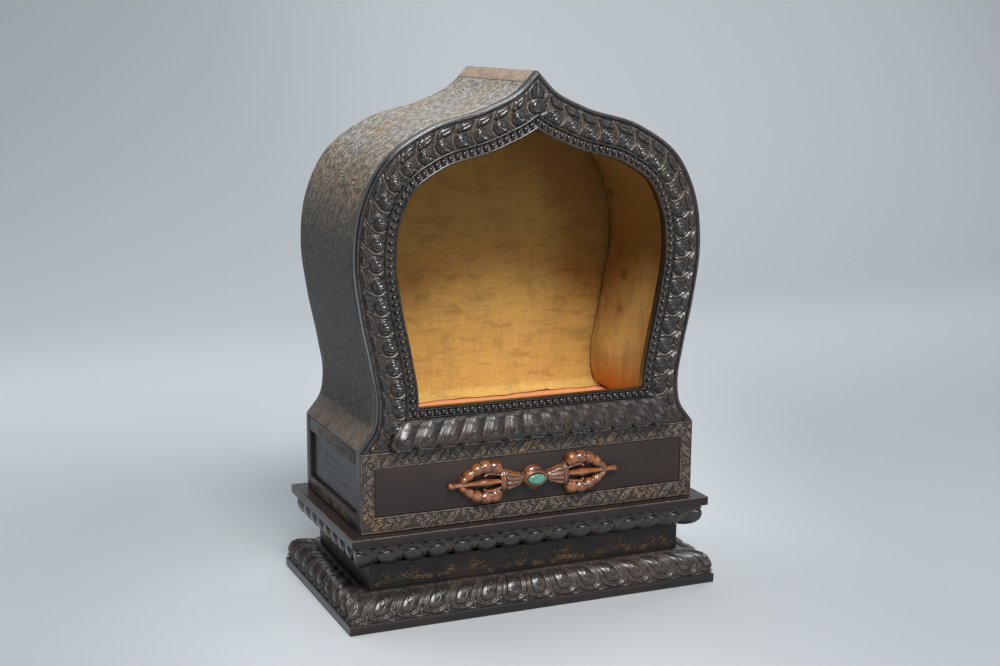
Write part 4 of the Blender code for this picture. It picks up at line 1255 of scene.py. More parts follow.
def frame_carving(along, up, width):
    """A tangle of small scrolls, then a bundle of slanting cords, along a rail of that width."""
    unit = 36.0
    place = np.mod(along, unit)
    middle = width / 2
    strokes = []
    for step in range(6):
        x = 2.4 + step * 3.7
        turn = 1 if step % 2 else -1
        strokes.append((spiral((x, middle - turn * 2.0), 2.3, 0.30 * turn, -1.4 * turn, 0.5), 0.44, 1.1))
        strokes.append((spiral((x + 1.8, middle + turn * 2.6), 1.8, -0.20 * turn, 1.2 * turn, 0.4),
                        0.42, 0.95))
        strokes.append((smoothed([(x - 1.5, middle + turn * 0.9), (x + 0.4, middle + turn * 0.3),
                                  (x + 2.1, middle - turn * 1.1)]), 0.40, 1.0))
    for step in range(5):
        x = 23.6 + step * 1.50
        strokes.append(([(x, 1.5 + 0.2 * step), (x + 5.6, 9.6 - 0.2 * (4 - step))], 0.55, 1.25))
    carving = drawn(place, up, strokes)
    border = np.minimum(up, width - up)
    carving = np.where(border < 1.1, 0.0, carving)
    return carving + 0.95 * ridge(border - 0.45, 0.55)


class SHRINE_OT_box(bpy.types.Operator):
    """The box: carved front frame, plain panel, side rails with gilt scrolls, and the other boards"""

    bl_idname = "shrine.box"
    bl_label = "Box"

    def execute(self, context):
        self.front_frame()
        self.boards()
        self.engraved_panel()
        self.rail_scrolls()
        return {"FINISHED"}

    def front_frame(self):
        """The carved frame as one ring of material."""
        stile, rail, depth = 0.0101, 0.0117, 0.0110
        drawn_width = 11.0
        half_height = (BOX_TOP - BOX_BASE) / 2
        outer = (BOX_HALF, half_height)
        inner = (BOX_HALF - stile, half_height - rail)
        side, share = ring_places(ring_shares(outer, 0.0005))
        rows = []
        carving = []
        for spot in np.linspace(0.0, 1.0, 25):
            halves = [far + (near - far) * spot for near, far in zip(inner, outer)]
            ring = ring_row(side, share, *halves, 0.0)[:, :2]
            rows.append(ring)
            along = np.select([side == 0, side == 2], [ring[:, 0], -ring[:, 0]], ring[:, 1]) / MM + 200.0
            carving.append(frame_carving(along + 3.0, spot * drawn_width + 0 * along, drawn_width))
        carving = np.array(carving)
        lift = (carving - 0.9) * 0.55 * MM
        lift[[0, -1]] = -0.0006
        front = [upright(ring, BOX_FRONT) for ring in rows]
        behind = [upright(ring, BOX_FRONT + depth) for ring in (rows[0], rows[-1])]
        points = np.array(behind[:1] + front + behind[1:])
        points[1:-1, :, 1] -= lift
        points[..., 2] += BOX_MIDDLE
        mesh = mesh_of("box_frame_carving", points, grid_faces(len(points), len(share), True, True),
                       values=padded(wear_of(carving, 2, 0.20, 0.20), 1, 1))
        finished("box_frame_carving", mesh, "frame_wood", "dark_wood", ["box_front_frame"])

    def boards(self):
        """Rails, back and the plain panels with softened edges."""
        for name, edge, finish, slot in (
            ("box_front_panel", 0.0005, "panel_wood", "panel_wood"),
            ("box_back_board", 0.0010, "slab_wood", "dark_wood"),
            *((f"box_rail_{word}", 0.0006, "waist_wood", "dark_wood")
              for word in ("bottom_left", "top_left", "bottom_right", "top_right")),
            ("box_side_panel_right", 0.0004, "side_wood", "panel_wood"),
        ):
            low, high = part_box(name)
            soft_block(name + "_softened", low, high, edge, finish, slot, [name])

    def engraved_panel(self):
        """The left panel, with rows of small engraved strokes that are no letters."""
        low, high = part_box("box_side_panel_left")
        spacing = 0.00042
        columns = int((high[1] - low[1]) / spacing)
        rows = int((high[2] - low[2]) / spacing)
        grid_y, grid_z = np.meshgrid(np.linspace(low[1], high[1], columns),
                                     np.linspace(low[2], high[2], rows))
        across = (grid_y - (low[1] + high[1]) / 2) / MM
        up = (grid_z - (low[2] + high[2]) / 2) / MM
        draw = np.random.default_rng(5)
        strokes = []
        for line in range(3):
            base = 9.0 - line * 6.4
            place = -36.0 + draw.uniform(0, 5)
            stop = 36.0 - draw.uniform(0, 8)
            while place < stop:
                tall = draw.uniform(1.8, 4.6)
                bend = draw.uniform(-1.6, 1.6)
                strokes.append(([(place, base), (place + bend, base - tall)], 0.42, 1.0))
                if draw.uniform() > 0.4:
                    strokes.append((arc((place + 0.4, base - tall * 0.5), 0.9, draw.uniform(0, 0.5),
                                        draw.uniform(0.6, 1.0), 5), 0.38, 1.0))
                place += draw.uniform(1.8, 5.0)
        sunk = drawn(across, up, strokes)
        border = np.minimum(np.minimum(grid_y - low[1], high[1] - grid_y),
                            np.minimum(grid_z - low[2], high[2] - grid_z))
        face = low[0] + 0.00022 * sunk + 0.0003 * (border < 0.0004)
        front = np.stack((face, grid_y, grid_z), -1)
        back = rim_of(front)
        back[:, 0] = high[0]
        rim = rim_of(np.arange(rows * columns).reshape(rows, columns))
        back_index = np.arange(len(back)) + rows * columns
        walls = np.stack((rim, back_index, np.roll(back_index, -1), np.roll(rim, -1)), -1)
        faces = np.concatenate((grid_faces(rows, columns, False, False), walls))
        blank = np.zeros(len(back))
        values = {"hollow": np.concatenate((sunk.ravel() * 0.20, blank))}
        points = np.concatenate((front.reshape(-1, 3), back))
        mesh = mesh_of("engraved_side_panel", points, faces, [back_index.tolist()], values)
        finished("engraved_side_panel", mesh, "side_wood", "panel_wood", ["box_side_panel_left"])

    def rail_scrolls(self):
        """Gilt scrolls and double lines along the side rails."""
        draw = np.random.default_rng(23)
        rail_low, rail_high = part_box("box_rail_bottom_left")
        length = (rail_high[1] - rail_low[1]) / MM
        middle = (rail_high[1] + rail_low[1]) / 2
        height = 11.3
        for side, word in ((3, "left"), (1, "right")):
            runs = []
            for base in (0.0, (BOX_TOP - BOX_BASE) / MM - height):
                for up in (base + 1.5, base + 9.9):
                    runs.append([(-length / 2 + 1 + step, up) for step in np.linspace(0, length - 2, 24)])
                for run in cloud_scrolls(length - 4, height, draw):
                    runs.append([(x, base + 1.0 + up * 0.72) for x, up in run])
            shift = (-middle if side == 3 else middle) / MM
            moved = [[(x + shift, up) for x, up in run] for run in runs]
            laid_lines("rail_scrolls_" + word, moved, lay_on(side, BOX_HALF, 0.0, BOX_BASE))


# The hood


class SHRINE_OT_hood(bpy.types.Operator):
    """The engraved hood and its back board"""

    bl_idname = "shrine.hood"
    bl_label = "Hood"

    def execute(self, context):
        count, depth_count = 260, 12
        strip_edge = 0.0112
        walked = lengths_of(even_run(inset_line(0.0, ARCH_BASE)[0], count))
        from_tip = np.concatenate((walked[::-1], walked[1:]))
        outer = arch_strip(0.0, ARCH_BASE, count)
        inner = arch_strip(HOOD_THICKNESS, ARCH_BASE, count)
        way = np.gradient(outer, axis=0)
        inward = np.stack((way[:, 1], -way[:, 0]), -1)
        inward /= np.linalg.norm(inward, axis=1)[:, None]
        groove = np.exp(-((from_tip - strip_edge) / 0.0007) ** 2) * 0.0003
        edge = 0.0006
        turned = edge * 0.3
        depths = [(HOOD_FRONT + turned, turned)]
        depths += [(y, 0.0) for y in np.linspace(HOOD_FRONT + edge, BOX_BACK - edge, depth_count)]
        depths.append((BOX_BACK - turned, turned))
        rows = [upright(outer + inward * edge, HOOD_FRONT)]
        rows += [upright(outer + inward * (inset + groove)[:, None], y) for y, inset in depths]
        rows.append(upright(outer + inward * edge, BOX_BACK))
        rows += [upright(inner, BOX_BACK), upright(inner, HOOD_FRONT)]
        points = np.array(rows)
        total, width = points.shape[:2]
        values = {
            "from_tip": np.tile(from_tip, (total, 1)),
            "from_front": points[..., 1] - HOOD_FRONT,
        }
        faces = grid_faces(total, width, True, False)
        mesh = mesh_of("engraved_hood", points, faces, end_caps(total, width), values)
        mesh.set_sharp_from_angle(angle=math.radians(50))
        finished("engraved_hood", mesh, "hood_wood", "hood_wood", ["hood_shell"])

        gap = 0.0003
        points = np.array([
            upright(arch_strip(HOOD_THICKNESS + gap + inset, ARCH_BASE + inset, 140), y)
            for inset, y in ((0.0, HOOD_BACK_FRONT), (0.0, BOX_BACK - edge), (edge, BOX_BACK))])
        total, width = points.shape[:2]
        faces = grid_faces(total, width, False, True)
        mesh = mesh_of("hood_back", points, faces, row_caps(total, width))
        mesh.set_sharp_from_angle(angle=math.radians(30))
        finished("hood_back", mesh, "slab_wood", "dark_wood", ["hood_back_board"])
        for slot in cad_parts["niche_floor_board"].material_slots:
            slot.material = finish_of("slab_wood")
        return {"FINISHED"}


# The arch's front board


def leaf_unit(along, inward):
    """One unit of the leaf band: a pale ridge, then a leaf, a bud and a scrolled roundel.

    along runs away from the arch's tip and inward is the distance from the inner rim.
    """
    line = smoothed([(-1.2, -0.4), (-0.2, 2.4), (0.5, 5.2), (0.2, 8.0), (-1.6, 10.6), (-3.6, 13.0),
                     (-5.2, 15.2), (-7.0, 17.4)])
    pale = ridge(line_distance(along, inward, line), 0.62)
    leaf_edge = smoothed([(-5.0, 17.0), (0.0, 17.5), (6.0, 17.2), (10.0, 15.8), (11.3, 13.2), (10.0, 11.0),
                          (6.0, 11.0), (2.6, 11.1), (0.6, 11.7), (-2.0, 14.0), (-5.0, 17.0)], 4)[:-1]
    leaf_in = inside(along, inward, leaf_edge)
    leaf = 2.3 * np.clip(leaf_in / 1.5, 0.0, 1.0) ** 0.5
    veins = drawn(along, inward, [
        (smoothed([(-2.8, 15.8), (1.6, 14.4), (5.4, 13.6), (7.6, 12.2), (6.4, 11.4)]), 0.45, 1.0),
        (spiral((8.6, 13.8), 1.9, 0.05, 0.8), 0.42, 1.0),
        (smoothed([(3.6, 16.8), (6.0, 15.8), (7.0, 14.8)]), 0.35, 0.8),
    ])
    leaf = np.where(leaf_in > 0, leaf - 0.85 * veins, 0.0)
    bud_reach = ((along - 1.9) / 1.7) ** 2 + ((inward - 2.9) / 2.7) ** 2
    bud = 1.7 * np.sqrt(np.clip(1.0 - bud_reach, 0.0, 1.0))
    reach = np.hypot((along - 8.3) / 6.2, (inward - 5.1) / 5.6)
    disc = 2.3 * np.sqrt(np.clip(1.0 - reach ** 4.0, 0.0, 1.0))
    curl = drawn(along, inward, [
        (spiral((8.8, 4.6), 3.6, 0.62, 1.60, 0.9), 0.66, 0.90),
        (smoothed([(3.4, 2.6), (4.2, 3.8), (4.0, 6.0), (5.2, 8.0)]), 0.50, 0.60),
    ])
    eye = 1.05 * ridge(np.hypot(along - 9.4, inward - 4.2), 1.4)
    roundel = disc + 0.70 * ridge(reach - 0.87, 0.11) - 0.85 * ridge(reach - 0.73, 0.08)
    roundel += 0.45 * ridge(reach - 0.62, 0.08)
    roundel = np.where(reach < 0.80, roundel - 0.45 + curl + eye * 0.7, roundel)
    height = np.where((reach > 1.0) & (reach < 1.10), 0.0, np.maximum(leaf, bud))
    height = np.where(reach < 1.0, np.maximum(roundel, 0.1), height)
    return np.maximum(height, 1.5 * pale), pale


def apex_unit(x, z):
    """The upright unit under the arch's tip, with x and z in millimetres from that tip."""
    reach = np.hypot(x, z + 26.6) / 6.6
    disc = 1.8 * np.sqrt(np.clip(1.0 - reach ** 2.4, 0.0, 1.0))
    ringed = disc + 0.45 * ridge(reach - 0.86, 0.13) - 0.55 * ridge(reach - 0.70, 0.12)
    disc = np.where(reach < 1.0, ringed, 0.0)
    curl = drawn(np.abs(x), z, [(spiral((1.9, -26.4), 1.9, 0.3, -1.1), 0.5, 0.55)])
    disc = np.where(reach < 0.76, disc - 0.25 + curl, disc)
    edge = smoothed([(0.0, -6.2), (2.6, -10.5), (5.2, -15.0), (4.6, -18.8), (0.0, -20.4), (-4.6, -18.8),
                     (-5.2, -15.0), (-2.6, -10.5), (0.0, -6.2)], 4)[:-1]
    leaf_in = inside(x, z, edge)
    leaf = 1.9 * np.clip(leaf_in / 1.8, 0.0, 1.0) ** 0.5
    cuts = drawn(np.abs(x), z, [
        (smoothed([(1.2, -10.5), (2.2, -14.0), (1.4, -17.0), (0.8, -19.0)]), 0.5, 1.0),
        (spiral((3.4, -16.6), 1.3, 0.4, -0.9), 0.4, 0.8),
    ])
    leaf = np.where(leaf_in > 0, leaf - 0.7 * cuts, 0.0)
    outline = smoothed([(0.0, -4.4), (3.6, -9.6), (6.6, -15.2), (5.6, -19.6), (7.9, -24.0),
                        (7.6, -29.0)])
    pale = ridge(line_distance(np.abs(x), z, outline), 0.6)
    closed = [(-px, pz) for px, pz in outline[::-1]] + outline
    within = inside(x, z, closed) > -0.3
    height = np.maximum(np.maximum(disc, leaf), 1.3 * pale)
    return height, pale, within


class SHRINE_OT_arch(bpy.types.Operator):
    """The front board: a rounded fillet, the leaf band, two rims, the bead channel and the opening"""

    bl_idname = "shrine.arch"
    bl_label = "Arch board"

    def execute(self, context):
        face = BOX_FRONT
        half_count, sill_count = 560, 130
        leaf_floor = 0.0015
        fillet = [(0.0, 0.0014), (0.0004, 0.0006), (0.0010, 0.0001), (0.0018, 0.0), (0.0026, 0.0001),
                  (0.0031, 0.0006), (0.0034, 0.0013), (0.0037, 0.0013), (0.0040, leaf_floor)]
        rims = [(0.0212, leaf_floor), (0.0215, 0.0004), (0.0219, -0.0002), (0.0223, -0.0004),
                (0.0227, -0.0002), (0.0232, 0.0004), (0.0236, 0.0012), (0.0240, 0.0013), (0.0262, 0.0013),
                (0.0280, 0.0013), (0.0284, 0.0012), (0.0288, 0.0004), (0.0292, -0.0001), (0.0297, -0.0003),
                (0.0302, -0.0001), (0.0306, 0.0005), (OPENING_INSET, 0.0012)]
        leaves = np.linspace(0.0042, 0.0210, 38)
        rows = [(0.0, ARCH_BASE, BOARD_BACK - face)]
        for inset, sunk in fillet:
            share = inset / 0.0040
            rows.append((inset, ARCH_BASE + share * (LOTUS_BASE - ARCH_BASE), sunk))
        first_leaf = len(rows)
        for inset in leaves:
            share = (inset - 0.0040) / (0.0211 - 0.0040)
            rows.append((inset, LOTUS_BASE + share * (sill_level(0.0211) - LOTUS_BASE), leaf_floor))
        last_leaf = len(rows)
        for inset, sunk in rims:
            rows.append((inset, sill_level(inset), sunk))
        rows.append((OPENING_INSET, sill_level(OPENING_INSET), BOARD_BACK - face))
        points = []
        places = []
        for inset, level, sunk in rows:
            loop, place = arch_ring(inset, level, half_count, sill_count)
            points.append(upright(loop, face + sunk))
            places.append(place)
        points = np.array(points)
        places = np.array(places)

        band_middle, band_inner = 0.0128, 0.0213
        first_leaf_spot = (0.0141, 0.3658)
        middle = OUTLINE + OUTLINE_IN * band_middle
        walked = lengths_of(middle)
        tip_place = np.interp(0.0, middle[:60, 0], OUTLINE_PLACE[:60])
        distance = np.interp(places, OUTLINE_PLACE, walked) - np.interp(tip_place, OUTLINE_PLACE, walked)
        first = np.argmin(np.hypot(*(OUTLINE - first_leaf_spot).T))
        first_place = walked[first] - np.interp(tip_place, OUTLINE_PLACE, walked)
        insets = np.array([row[0] for row in rows])
        zone = slice(first_leaf, last_leaf)
        unit = sizes().leaf_pitch / MM
        drawn_unit = 15.8
        along = (distance[zone] - first_place) / MM + 8.0
        inward = (band_inner - insets[zone])[:, None] / MM + 0 * along
        overlap = 4.8
        here = np.mod(along + overlap, unit) - overlap
        height, pale = leaf_unit(here * (drawn_unit / unit), inward)
        for beside in (here - unit, here + unit):
            more, more_pale = leaf_unit(beside * (drawn_unit / unit), inward)
            height = np.maximum(height, more)
            pale = np.maximum(pale, more_pale)
        x = points[zone][..., 0] / MM
        z = (points[zone][..., 2] - ARCH_BASE - ARCH_HEIGHT) / MM
        top, top_pale, within = apex_unit(x, z)
        height = np.where(within, top, height)
        pale = np.where(within, top_pale, pale)
        edge_fade = np.clip(np.minimum(inward - 0.2, 17.3 - inward) / 0.5, 0.0, 1.0)
        edge_fade[places[zone] < 0] = 0.0
        height = height * edge_fade
        points[zone, :, 1] -= height * MM * 0.95
        wear = wear_of(height, 4, 0.50, 0.60)
        values = {key: np.zeros(points.shape[:2]) for key in ("crest", "hollow", "pale")}
        values["crest"][zone] = wear["crest"] * 0.7
        values["hollow"][zone] = wear["hollow"]
        values["pale"][zone] = pale * edge_fade * 0.60
        for row, inset in enumerate(insets):
            # The bead channel: dust in it, and its floor painted pale, partly dust and partly a painted
            # highlight between the beads.
            if 0.0234 < inset < 0.0287:
                values["hollow"][row] = 0.3
                values["pale"][row] = 0.30
            if 0.0033 < inset < 0.0041 or 0.0210 < inset < 0.0214:
                values["hollow"][row] = 0.6
            # Painted highlight: the top of the outer fillet and the rims either side of the bead channel
            # are painted as light lines.
            if inset in (0.0010, 0.0018, 0.0223, 0.0219, 0.0297, 0.0292):
                values["crest"][row] = 0.6
        faces = grid_faces(len(points), points.shape[1], True, True)
        mesh = mesh_of("arch_leaf_carving", points, faces, values=values)
        finished("arch_leaf_carving", mesh, "board_wood", "dark_wood", ["arch_front_board"])
        return {"FINISHED"}


def bead_tree(diameter, rise, pitch):
    """Geometry nodes: a bead at even steps along a closed run of edges."""
    tree = bpy.data.node_groups.new("bead_row", "GeometryNodeTree")
    face = tree.interface
    face.new_socket("Geometry", in_out="INPUT", socket_type="NodeSocketGeometry")
    for name, value in (("Bead diameter", diameter), ("Bead rise", rise), ("Bead spacing", pitch)):
        socket = face.new_socket(name, in_out="INPUT", socket_type="NodeSocketFloat")
        socket.default_value = value
    face.new_socket("Finish", in_out="INPUT", socket_type="NodeSocketMaterial")
    face.new_socket("Geometry", in_out="OUTPUT", socket_type="NodeSocketGeometry")
    made = tree.nodes.new
    start = made("NodeGroupInput")
    end = made("NodeGroupOutput")
    to_curve = made("GeometryNodeMeshToCurve")
    resample = made("GeometryNodeResampleCurve")
    resample.mode = "LENGTH"
    points = made("GeometryNodeCurveToPoints")
    points.mode = "EVALUATED"
    ball = made("GeometryNodeMeshIcoSphere")
    ball.inputs["Radius"].default_value = 0.5
    ball.inputs["Subdivisions"].default_value = 2
    size = made("ShaderNodeCombineXYZ")
    smooth = made("GeometryNodeSetShadeSmooth")
    instances = made("GeometryNodeInstanceOnPoints")
    realize = made("GeometryNodeRealizeInstances")
    paint = made("GeometryNodeSetMaterial")
    for source, output, target, entry in (
        (start, "Geometry", to_curve, "Mesh"),
        (to_curve, "Curve", resample, "Curve"),
        (start, "Bead spacing", resample, "Length"),
        (resample, "Curve", points, "Curve"),
        (ball, "Mesh", smooth, "Geometry"),
        (points, "Points", instances, "Points"),
        (smooth, "Geometry", instances, "Instance"),
        (start, "Bead diameter", size, "X"),
        (start, "Bead rise", size, "Y"),
        (start, "Bead diameter", size, "Z"),
        (size, "Vector", instances, "Scale"),
        (instances, "Instances", realize, "Geometry"),
        (realize, "Geometry", paint, "Geometry"),
        (start, "Finish", paint, "Material"),
        (paint, "Geometry", end, "Geometry"),
    ):
        tree.links.new(source.outputs[output], target.inputs[entry])
    return tree


def socket_key(tree, name):
    """The identifier of a node group's input."""
    return next(item.identifier for item in tree.interface.items_tree
                if item.in_out == "INPUT" and item.name == name)


class SHRINE_OT_beads(bpy.types.Operator):
    """The row of beads round the opening"""

    bl_idname = "shrine.beads"
    bl_label = "Beads"

    def execute(self, context):
        inset, bedded = 0.0260, 0.0006
        loop, _ = arch_ring(inset, sill_level(inset), 200, 80)
        level = BOX_FRONT + bedded
        points = [(x, level, z) for x, z in loop]
        edges = [(index, (index + 1) % len(points)) for index in range(len(points))]
        path = bpy.data.meshes.new("bead_path")
        path.from_pydata(points, edges, [])
        holder = linked("bead_path", path)
        diameter = sizes().bead_diameter
        tree = bead_tree(diameter, diameter * 0.95, sizes().bead_pitch)
        modifier = holder.modifiers.new("beads", "NODES")
        modifier.node_group = tree
        modifier[socket_key(tree, "Finish")] = finish_of("bead_wood")
        mesh = applied(holder)
        mesh.name = "bead_row"
        finished("bead_row", mesh, "bead_wood", "dark_wood")
        return {"FINISHED"}


class SHRINE_OT_lotus(bpy.types.Operator):
    """The band of lotus petals across the foot of the arch"""

    bl_idname = "shrine.lotus"
    bl_label = "Lotus band"

    def execute(self, context):
        petals, projection = 13, 0.0075
        half_low, half_high = 0.1150, 0.1020
        share = np.linspace(-1.0, 1.0, 700)
        scale = np.array((projection, LOTUS_TOP - LOTUS_BASE))
        run = even_run(smooth_run(LOTUS_PROFILE, 12) * scale, 50)
        along = np.gradient(run, axis=0)
        along /= np.linalg.norm(along, axis=1)[:, None]
        walked = lengths_of(run) / MM
        length = walked[-1]
        walk = (share + 1.0) * petals / 2
        place = (walk - np.floor(walk)) * 2.0 - 1.0
        half = 8.5
        up = (length - walked)[:, None] + 0 * share[None, :]
        carving, _ = petal_carving(place[None, :] * half + 0 * up, up * 1.05 + 0.4, half, length * 1.05,
                                   6.5, 0.45, 1.6)
        fade = (np.clip(walked / 1.2, 0.0, 1.0) * np.clip((length - walked) / 0.5, 0.0, 1.0))[:, None]
        lift = (carving / 3.0 - 0.55) * sizes().lotus_relief * fade
        past = np.maximum(0.0, np.abs(share) - 0.93) / 0.07
        end = np.sqrt(1.0 - 0.75 * past ** 2)
        rows = []
        for row in range(len(run)):
            rise = run[row, 1] / scale[1]
            half_width = half_low + (half_high - half_low) * rise ** 2
            moved = share - 0.05 * rise * np.sin(math.pi * share)
            stand = np.maximum(run[row, 0] * end + lift[row] * -along[row, 1], 0.0002)
            notch = 0.0021 * np.abs(place) ** 4 * max(0.0, 1.0 - rise * 3.5)
            level = LOTUS_BASE + run[row, 1] + notch + lift[row] * along[row, 0] * -1.0
            level = np.maximum(level, LOTUS_BASE)
            rows.append(np.stack((moved * half_width, BOX_FRONT - stand, level), -1))
        points = np.array(rows[:1] + rows + rows[-1:])
        points[[0, -1], :, 1] = BOX_FRONT + 0.0012
        total, width = points.shape[:2]
        faces = grid_faces(total, width, True, False)
        values = padded(wear_of(carving * fade, wrap=False), 1, 1)
        mesh = mesh_of("lotus_petals", points, faces, end_caps(total, width), values)
        finished("lotus_petals", mesh, "carved_wood", "dark_wood", ["lotus_band"])
        return {"FINISHED"}


# The lining


def silk_inset(share):
    """How far the silk stands in from the arch's edge."""
    return HOOD_THICKNESS + 0.0035 + 0.0005 * np.sin(math.pi * share) ** 2


def thick_sheet(name, front, back, flat, brown, finish, slot, replaced, warm=None):
    """A closed sheet of cloth between two grids of points."""
    rows, columns = front.shape[:2]
    points = np.concatenate((front.reshape(-1, 3), back.reshape(-1, 3)))
    faces = grid_faces(rows, columns, False, False)
    count = rows * columns
    index = np.arange(count).reshape(rows, columns)
    rim = rim_of(index)
    walls = np.stack((rim, rim + count, np.roll(rim, -1) + count, np.roll(rim, -1)), -1)
    whole = np.concatenate((faces, faces[:, ::-1] + count, walls))
    values = {"brown": np.tile(brown.ravel(), 2)}
    if warm is not None:
        values["warm"] = np.tile(warm.ravel(), 2)
    mesh = mesh_of(name, points, whole, values=values)
    set_flat_map(mesh, np.concatenate((flat.reshape(-1, 2), flat.reshape(-1, 2))))
    return finished(name, mesh, finish, slot, replaced)


class SHRINE_OT_lining(bpy.types.Operator):
    """The golden silk on the niche's back and sides, and the orange cloth on its floor"""

    bl_idname = "shrine.lining"
    bl_label = "Lining"

    def execute(self, context):
        thick = 0.0005
        base = CLOTH_TOP + 0.0002
        outline = inset_line(silk_inset, base)[0][::-1]
        self.back_wall(thick, base, outline)
        self.side_wall(thick, base)
        self.floor_cloth(thick, outline)
        return {"FINISHED"}

    def back_wall(self, thick, base, outline):
        """The silk over the back board, turned forwards onto the floor in a hem."""
        bend = 0.0065
        levels = np.concatenate((np.linspace(base + bend, 0.30, 56),
                                 np.linspace(0.30, outline[-1, 1] - 0.0004, 42)[1:]))
        share = np.linspace(-1.0, 1.0, 116)
        draw = np.random.default_rng(3)
        hem = 0.0028 + 0.0015 * np.sin(share * 9.0) + 0.0008 * np.sin(share * 31.0 + 1.0) - 0.0022 * share
        turns = np.linspace(0.0, math.pi / 2, 9)[:-1]
        hem_y = [SILK_BACK_FACE - bend - hem]
        hem_z = [base + thick + 0 * share]
        for turn in turns:
            hem_y.append(SILK_BACK_FACE - bend * (1.0 - math.sin(turn)) + 0 * share)
            hem_z.append(base + thick + bend * (1.0 - math.cos(turn)) + 0 * share)
        wall_z = levels[:, None] + thick + 0 * share[None, :]
        wall_y = SILK_BACK_FACE + 0 * wall_z
        z = np.vstack((np.array(hem_z), wall_z))
        y = np.vstack((np.array(hem_y), wall_y))
        half = np.interp(z[:, 0], outline[:, 1], outline[:, 0]) - 0.0002
        x = half[:, None] * share[None, :]
        edge_gap = half[:, None] - np.abs(x)
        soft = np.zeros(x.shape)
        for _ in range(9):
            way = draw.uniform(-0.5, 0.5)
            wave = draw.uniform(40, 130)
            soft += (0.00005 * np.sin(wave * (z + way * x) + draw.uniform(0, 6))
                     * np.cos(wave * 0.4 * x + draw.uniform(0, 6)))
        tight = np.clip(edge_gap / 0.012, 0.0, 1.0) * np.clip((z - base - bend) / 0.01, 0.0, 1.0)
        y = y + soft * tight
        front = np.stack((x, y, z), -1)
        down = np.gradient(y, axis=0)
        rise = np.gradient(z, axis=0)
        size = np.hypot(down, rise)
        back = front + np.stack((0 * x, rise / size * thick, -down / size * thick), -1)
        steps = np.hypot(np.diff(y, axis=0), np.diff(z, axis=0))
        walked = np.vstack((np.zeros(len(share)), np.cumsum(steps, axis=0)))
        flat = np.stack((x, walked), -1)
        # Painted shade: darker near the silk's edges and towards the top, where the arch's shadow falls.
        brown = 0.35 * np.exp(-edge_gap / 0.005) + 0.64 * np.clip((z - 0.205) / 0.11, 0.0, 1.0)
        brown = np.clip(brown, 0.0, 1.0)
        piece = thick_sheet("silk_back_wall", front, back, flat, brown, "silk", "silk", ["silk_back"])

    def side_wall(self, thick, base):
        """The strip of silk up one side of the niche, over its top and down the other side."""
        strip = arch_strip(silk_inset, base, 170)
        way = np.gradient(strip, axis=0)
        outward = np.stack((-way[:, 1], way[:, 0]), -1)
        outward /= np.linalg.norm(outward, axis=1)[:, None]
        walked = lengths_of(strip)
        depth = np.linspace(HOOD_FRONT + 0.0006, SILK_BACK_FACE + 0.0004, 44)
        to_seam = depth[-1] - depth
        puffs = np.sin(walked * 95) + 0.7 * np.sin(walked * 41 + 1.0)
        fine = np.sin(walked * 520 + 2.5 * np.sin(walked * 150))
        bulge = (0.0010 * puffs[None, :] * np.exp(-((to_seam[:, None] - 0.030) / 0.030) ** 2)
                 - 0.00022 * fine[None, :] * np.exp(-to_seam[:, None] / 0.007))
        roll = 0.0012 * np.exp(-((to_seam[:, None] - 0.0035) / 0.0022) ** 2) + 0 * bulge
        inner = strip[None, :, :] - outward[None, :, :] * (bulge + roll + 0.0006)[..., None]
        outer = inner + outward[None, :, :] * thick
        y = depth[:, None] + 0 * bulge
        front = np.stack((inner[..., 0], y, inner[..., 1]), -1)
        back = np.stack((outer[..., 0], y, outer[..., 1]), -1)
        flat = np.stack((walked[None, :] + 0 * y, y), -1)
        # Painted shade near the seam and towards the top, over a light even tint; the spots below are real
        # stains.
        brown = 0.35 * np.exp(-to_seam / 0.004)[:, None] + 0.10 + 0 * y
        brown = brown + 0.50 * np.clip((inner[..., 1] - 0.19) / 0.08, 0.0, 1.0)
        for away, height, size in ((0.009, 0.298, 0.0034), (0.034, 0.232, 0.0050), (0.036, 0.205, 0.0046)):
            spot = ((to_seam[:, None] - away) / size) ** 2 + ((inner[..., 1] - height) / size) ** 2
            brown = brown + 0.60 * np.exp(-spot) * (inner[..., 0] > 0)
        # Painted reflected light: the orange glow from the floor cloth, strongest at the bottom of the side
        # silk.
        warm = np.clip(1.0 - (inner[..., 1] - base) / 0.028, 0.0, 1.0) ** 1.5
        piece = thick_sheet("silk_side_wall", front, back, flat, np.clip(brown, 0.0, 1.0), "silk", "silk",
                            ["silk_sides"], warm)

    def floor_cloth(self, thick, outline):
        """The orange cloth, laid on the floor board."""
        low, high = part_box("floor_cloth")
        reach = float(outline[0, 0]) + 0.0003
        grid_x, grid_y = np.meshgrid(np.linspace(-reach, reach, 70),
                                     np.linspace(low[1] + 0.0002, high[1] - 0.0004, 36))
        lift = 0.00012 * (np.sin(grid_x * 170 + 2 * np.sin(grid_y * 60))
                          + np.sin(grid_y * 210 + grid_x * 40))
        near_back = np.exp(-(high[1] - grid_y) / 0.006)
        grid_y = grid_y - near_back * (0.0010 + 0.0010 * np.sin(grid_x * 120) * np.sin(grid_x * 47 + 1))
        z = low[2] + 0.0007 + lift
        front = np.stack((grid_x, grid_y, z), -1)
        back = np.stack((grid_x, grid_y, z - thick), -1)
        flat = np.stack((grid_x, grid_y), -1)
        piece = thick_sheet("orange_floor_cloth", front, back, flat, np.zeros(z.shape), "orange_cloth",
                            "orange_cloth", ["floor_cloth"])


# The double-ended ornament


def on_panel(x, out, z):
    """A spot in millimetres from the ornament's middle: along, out of the panel and up."""
    return (VAJRA_MIDDLE + x * MM, VAJRA_BACK - out * MM, BOX_MIDDLE + z * MM)


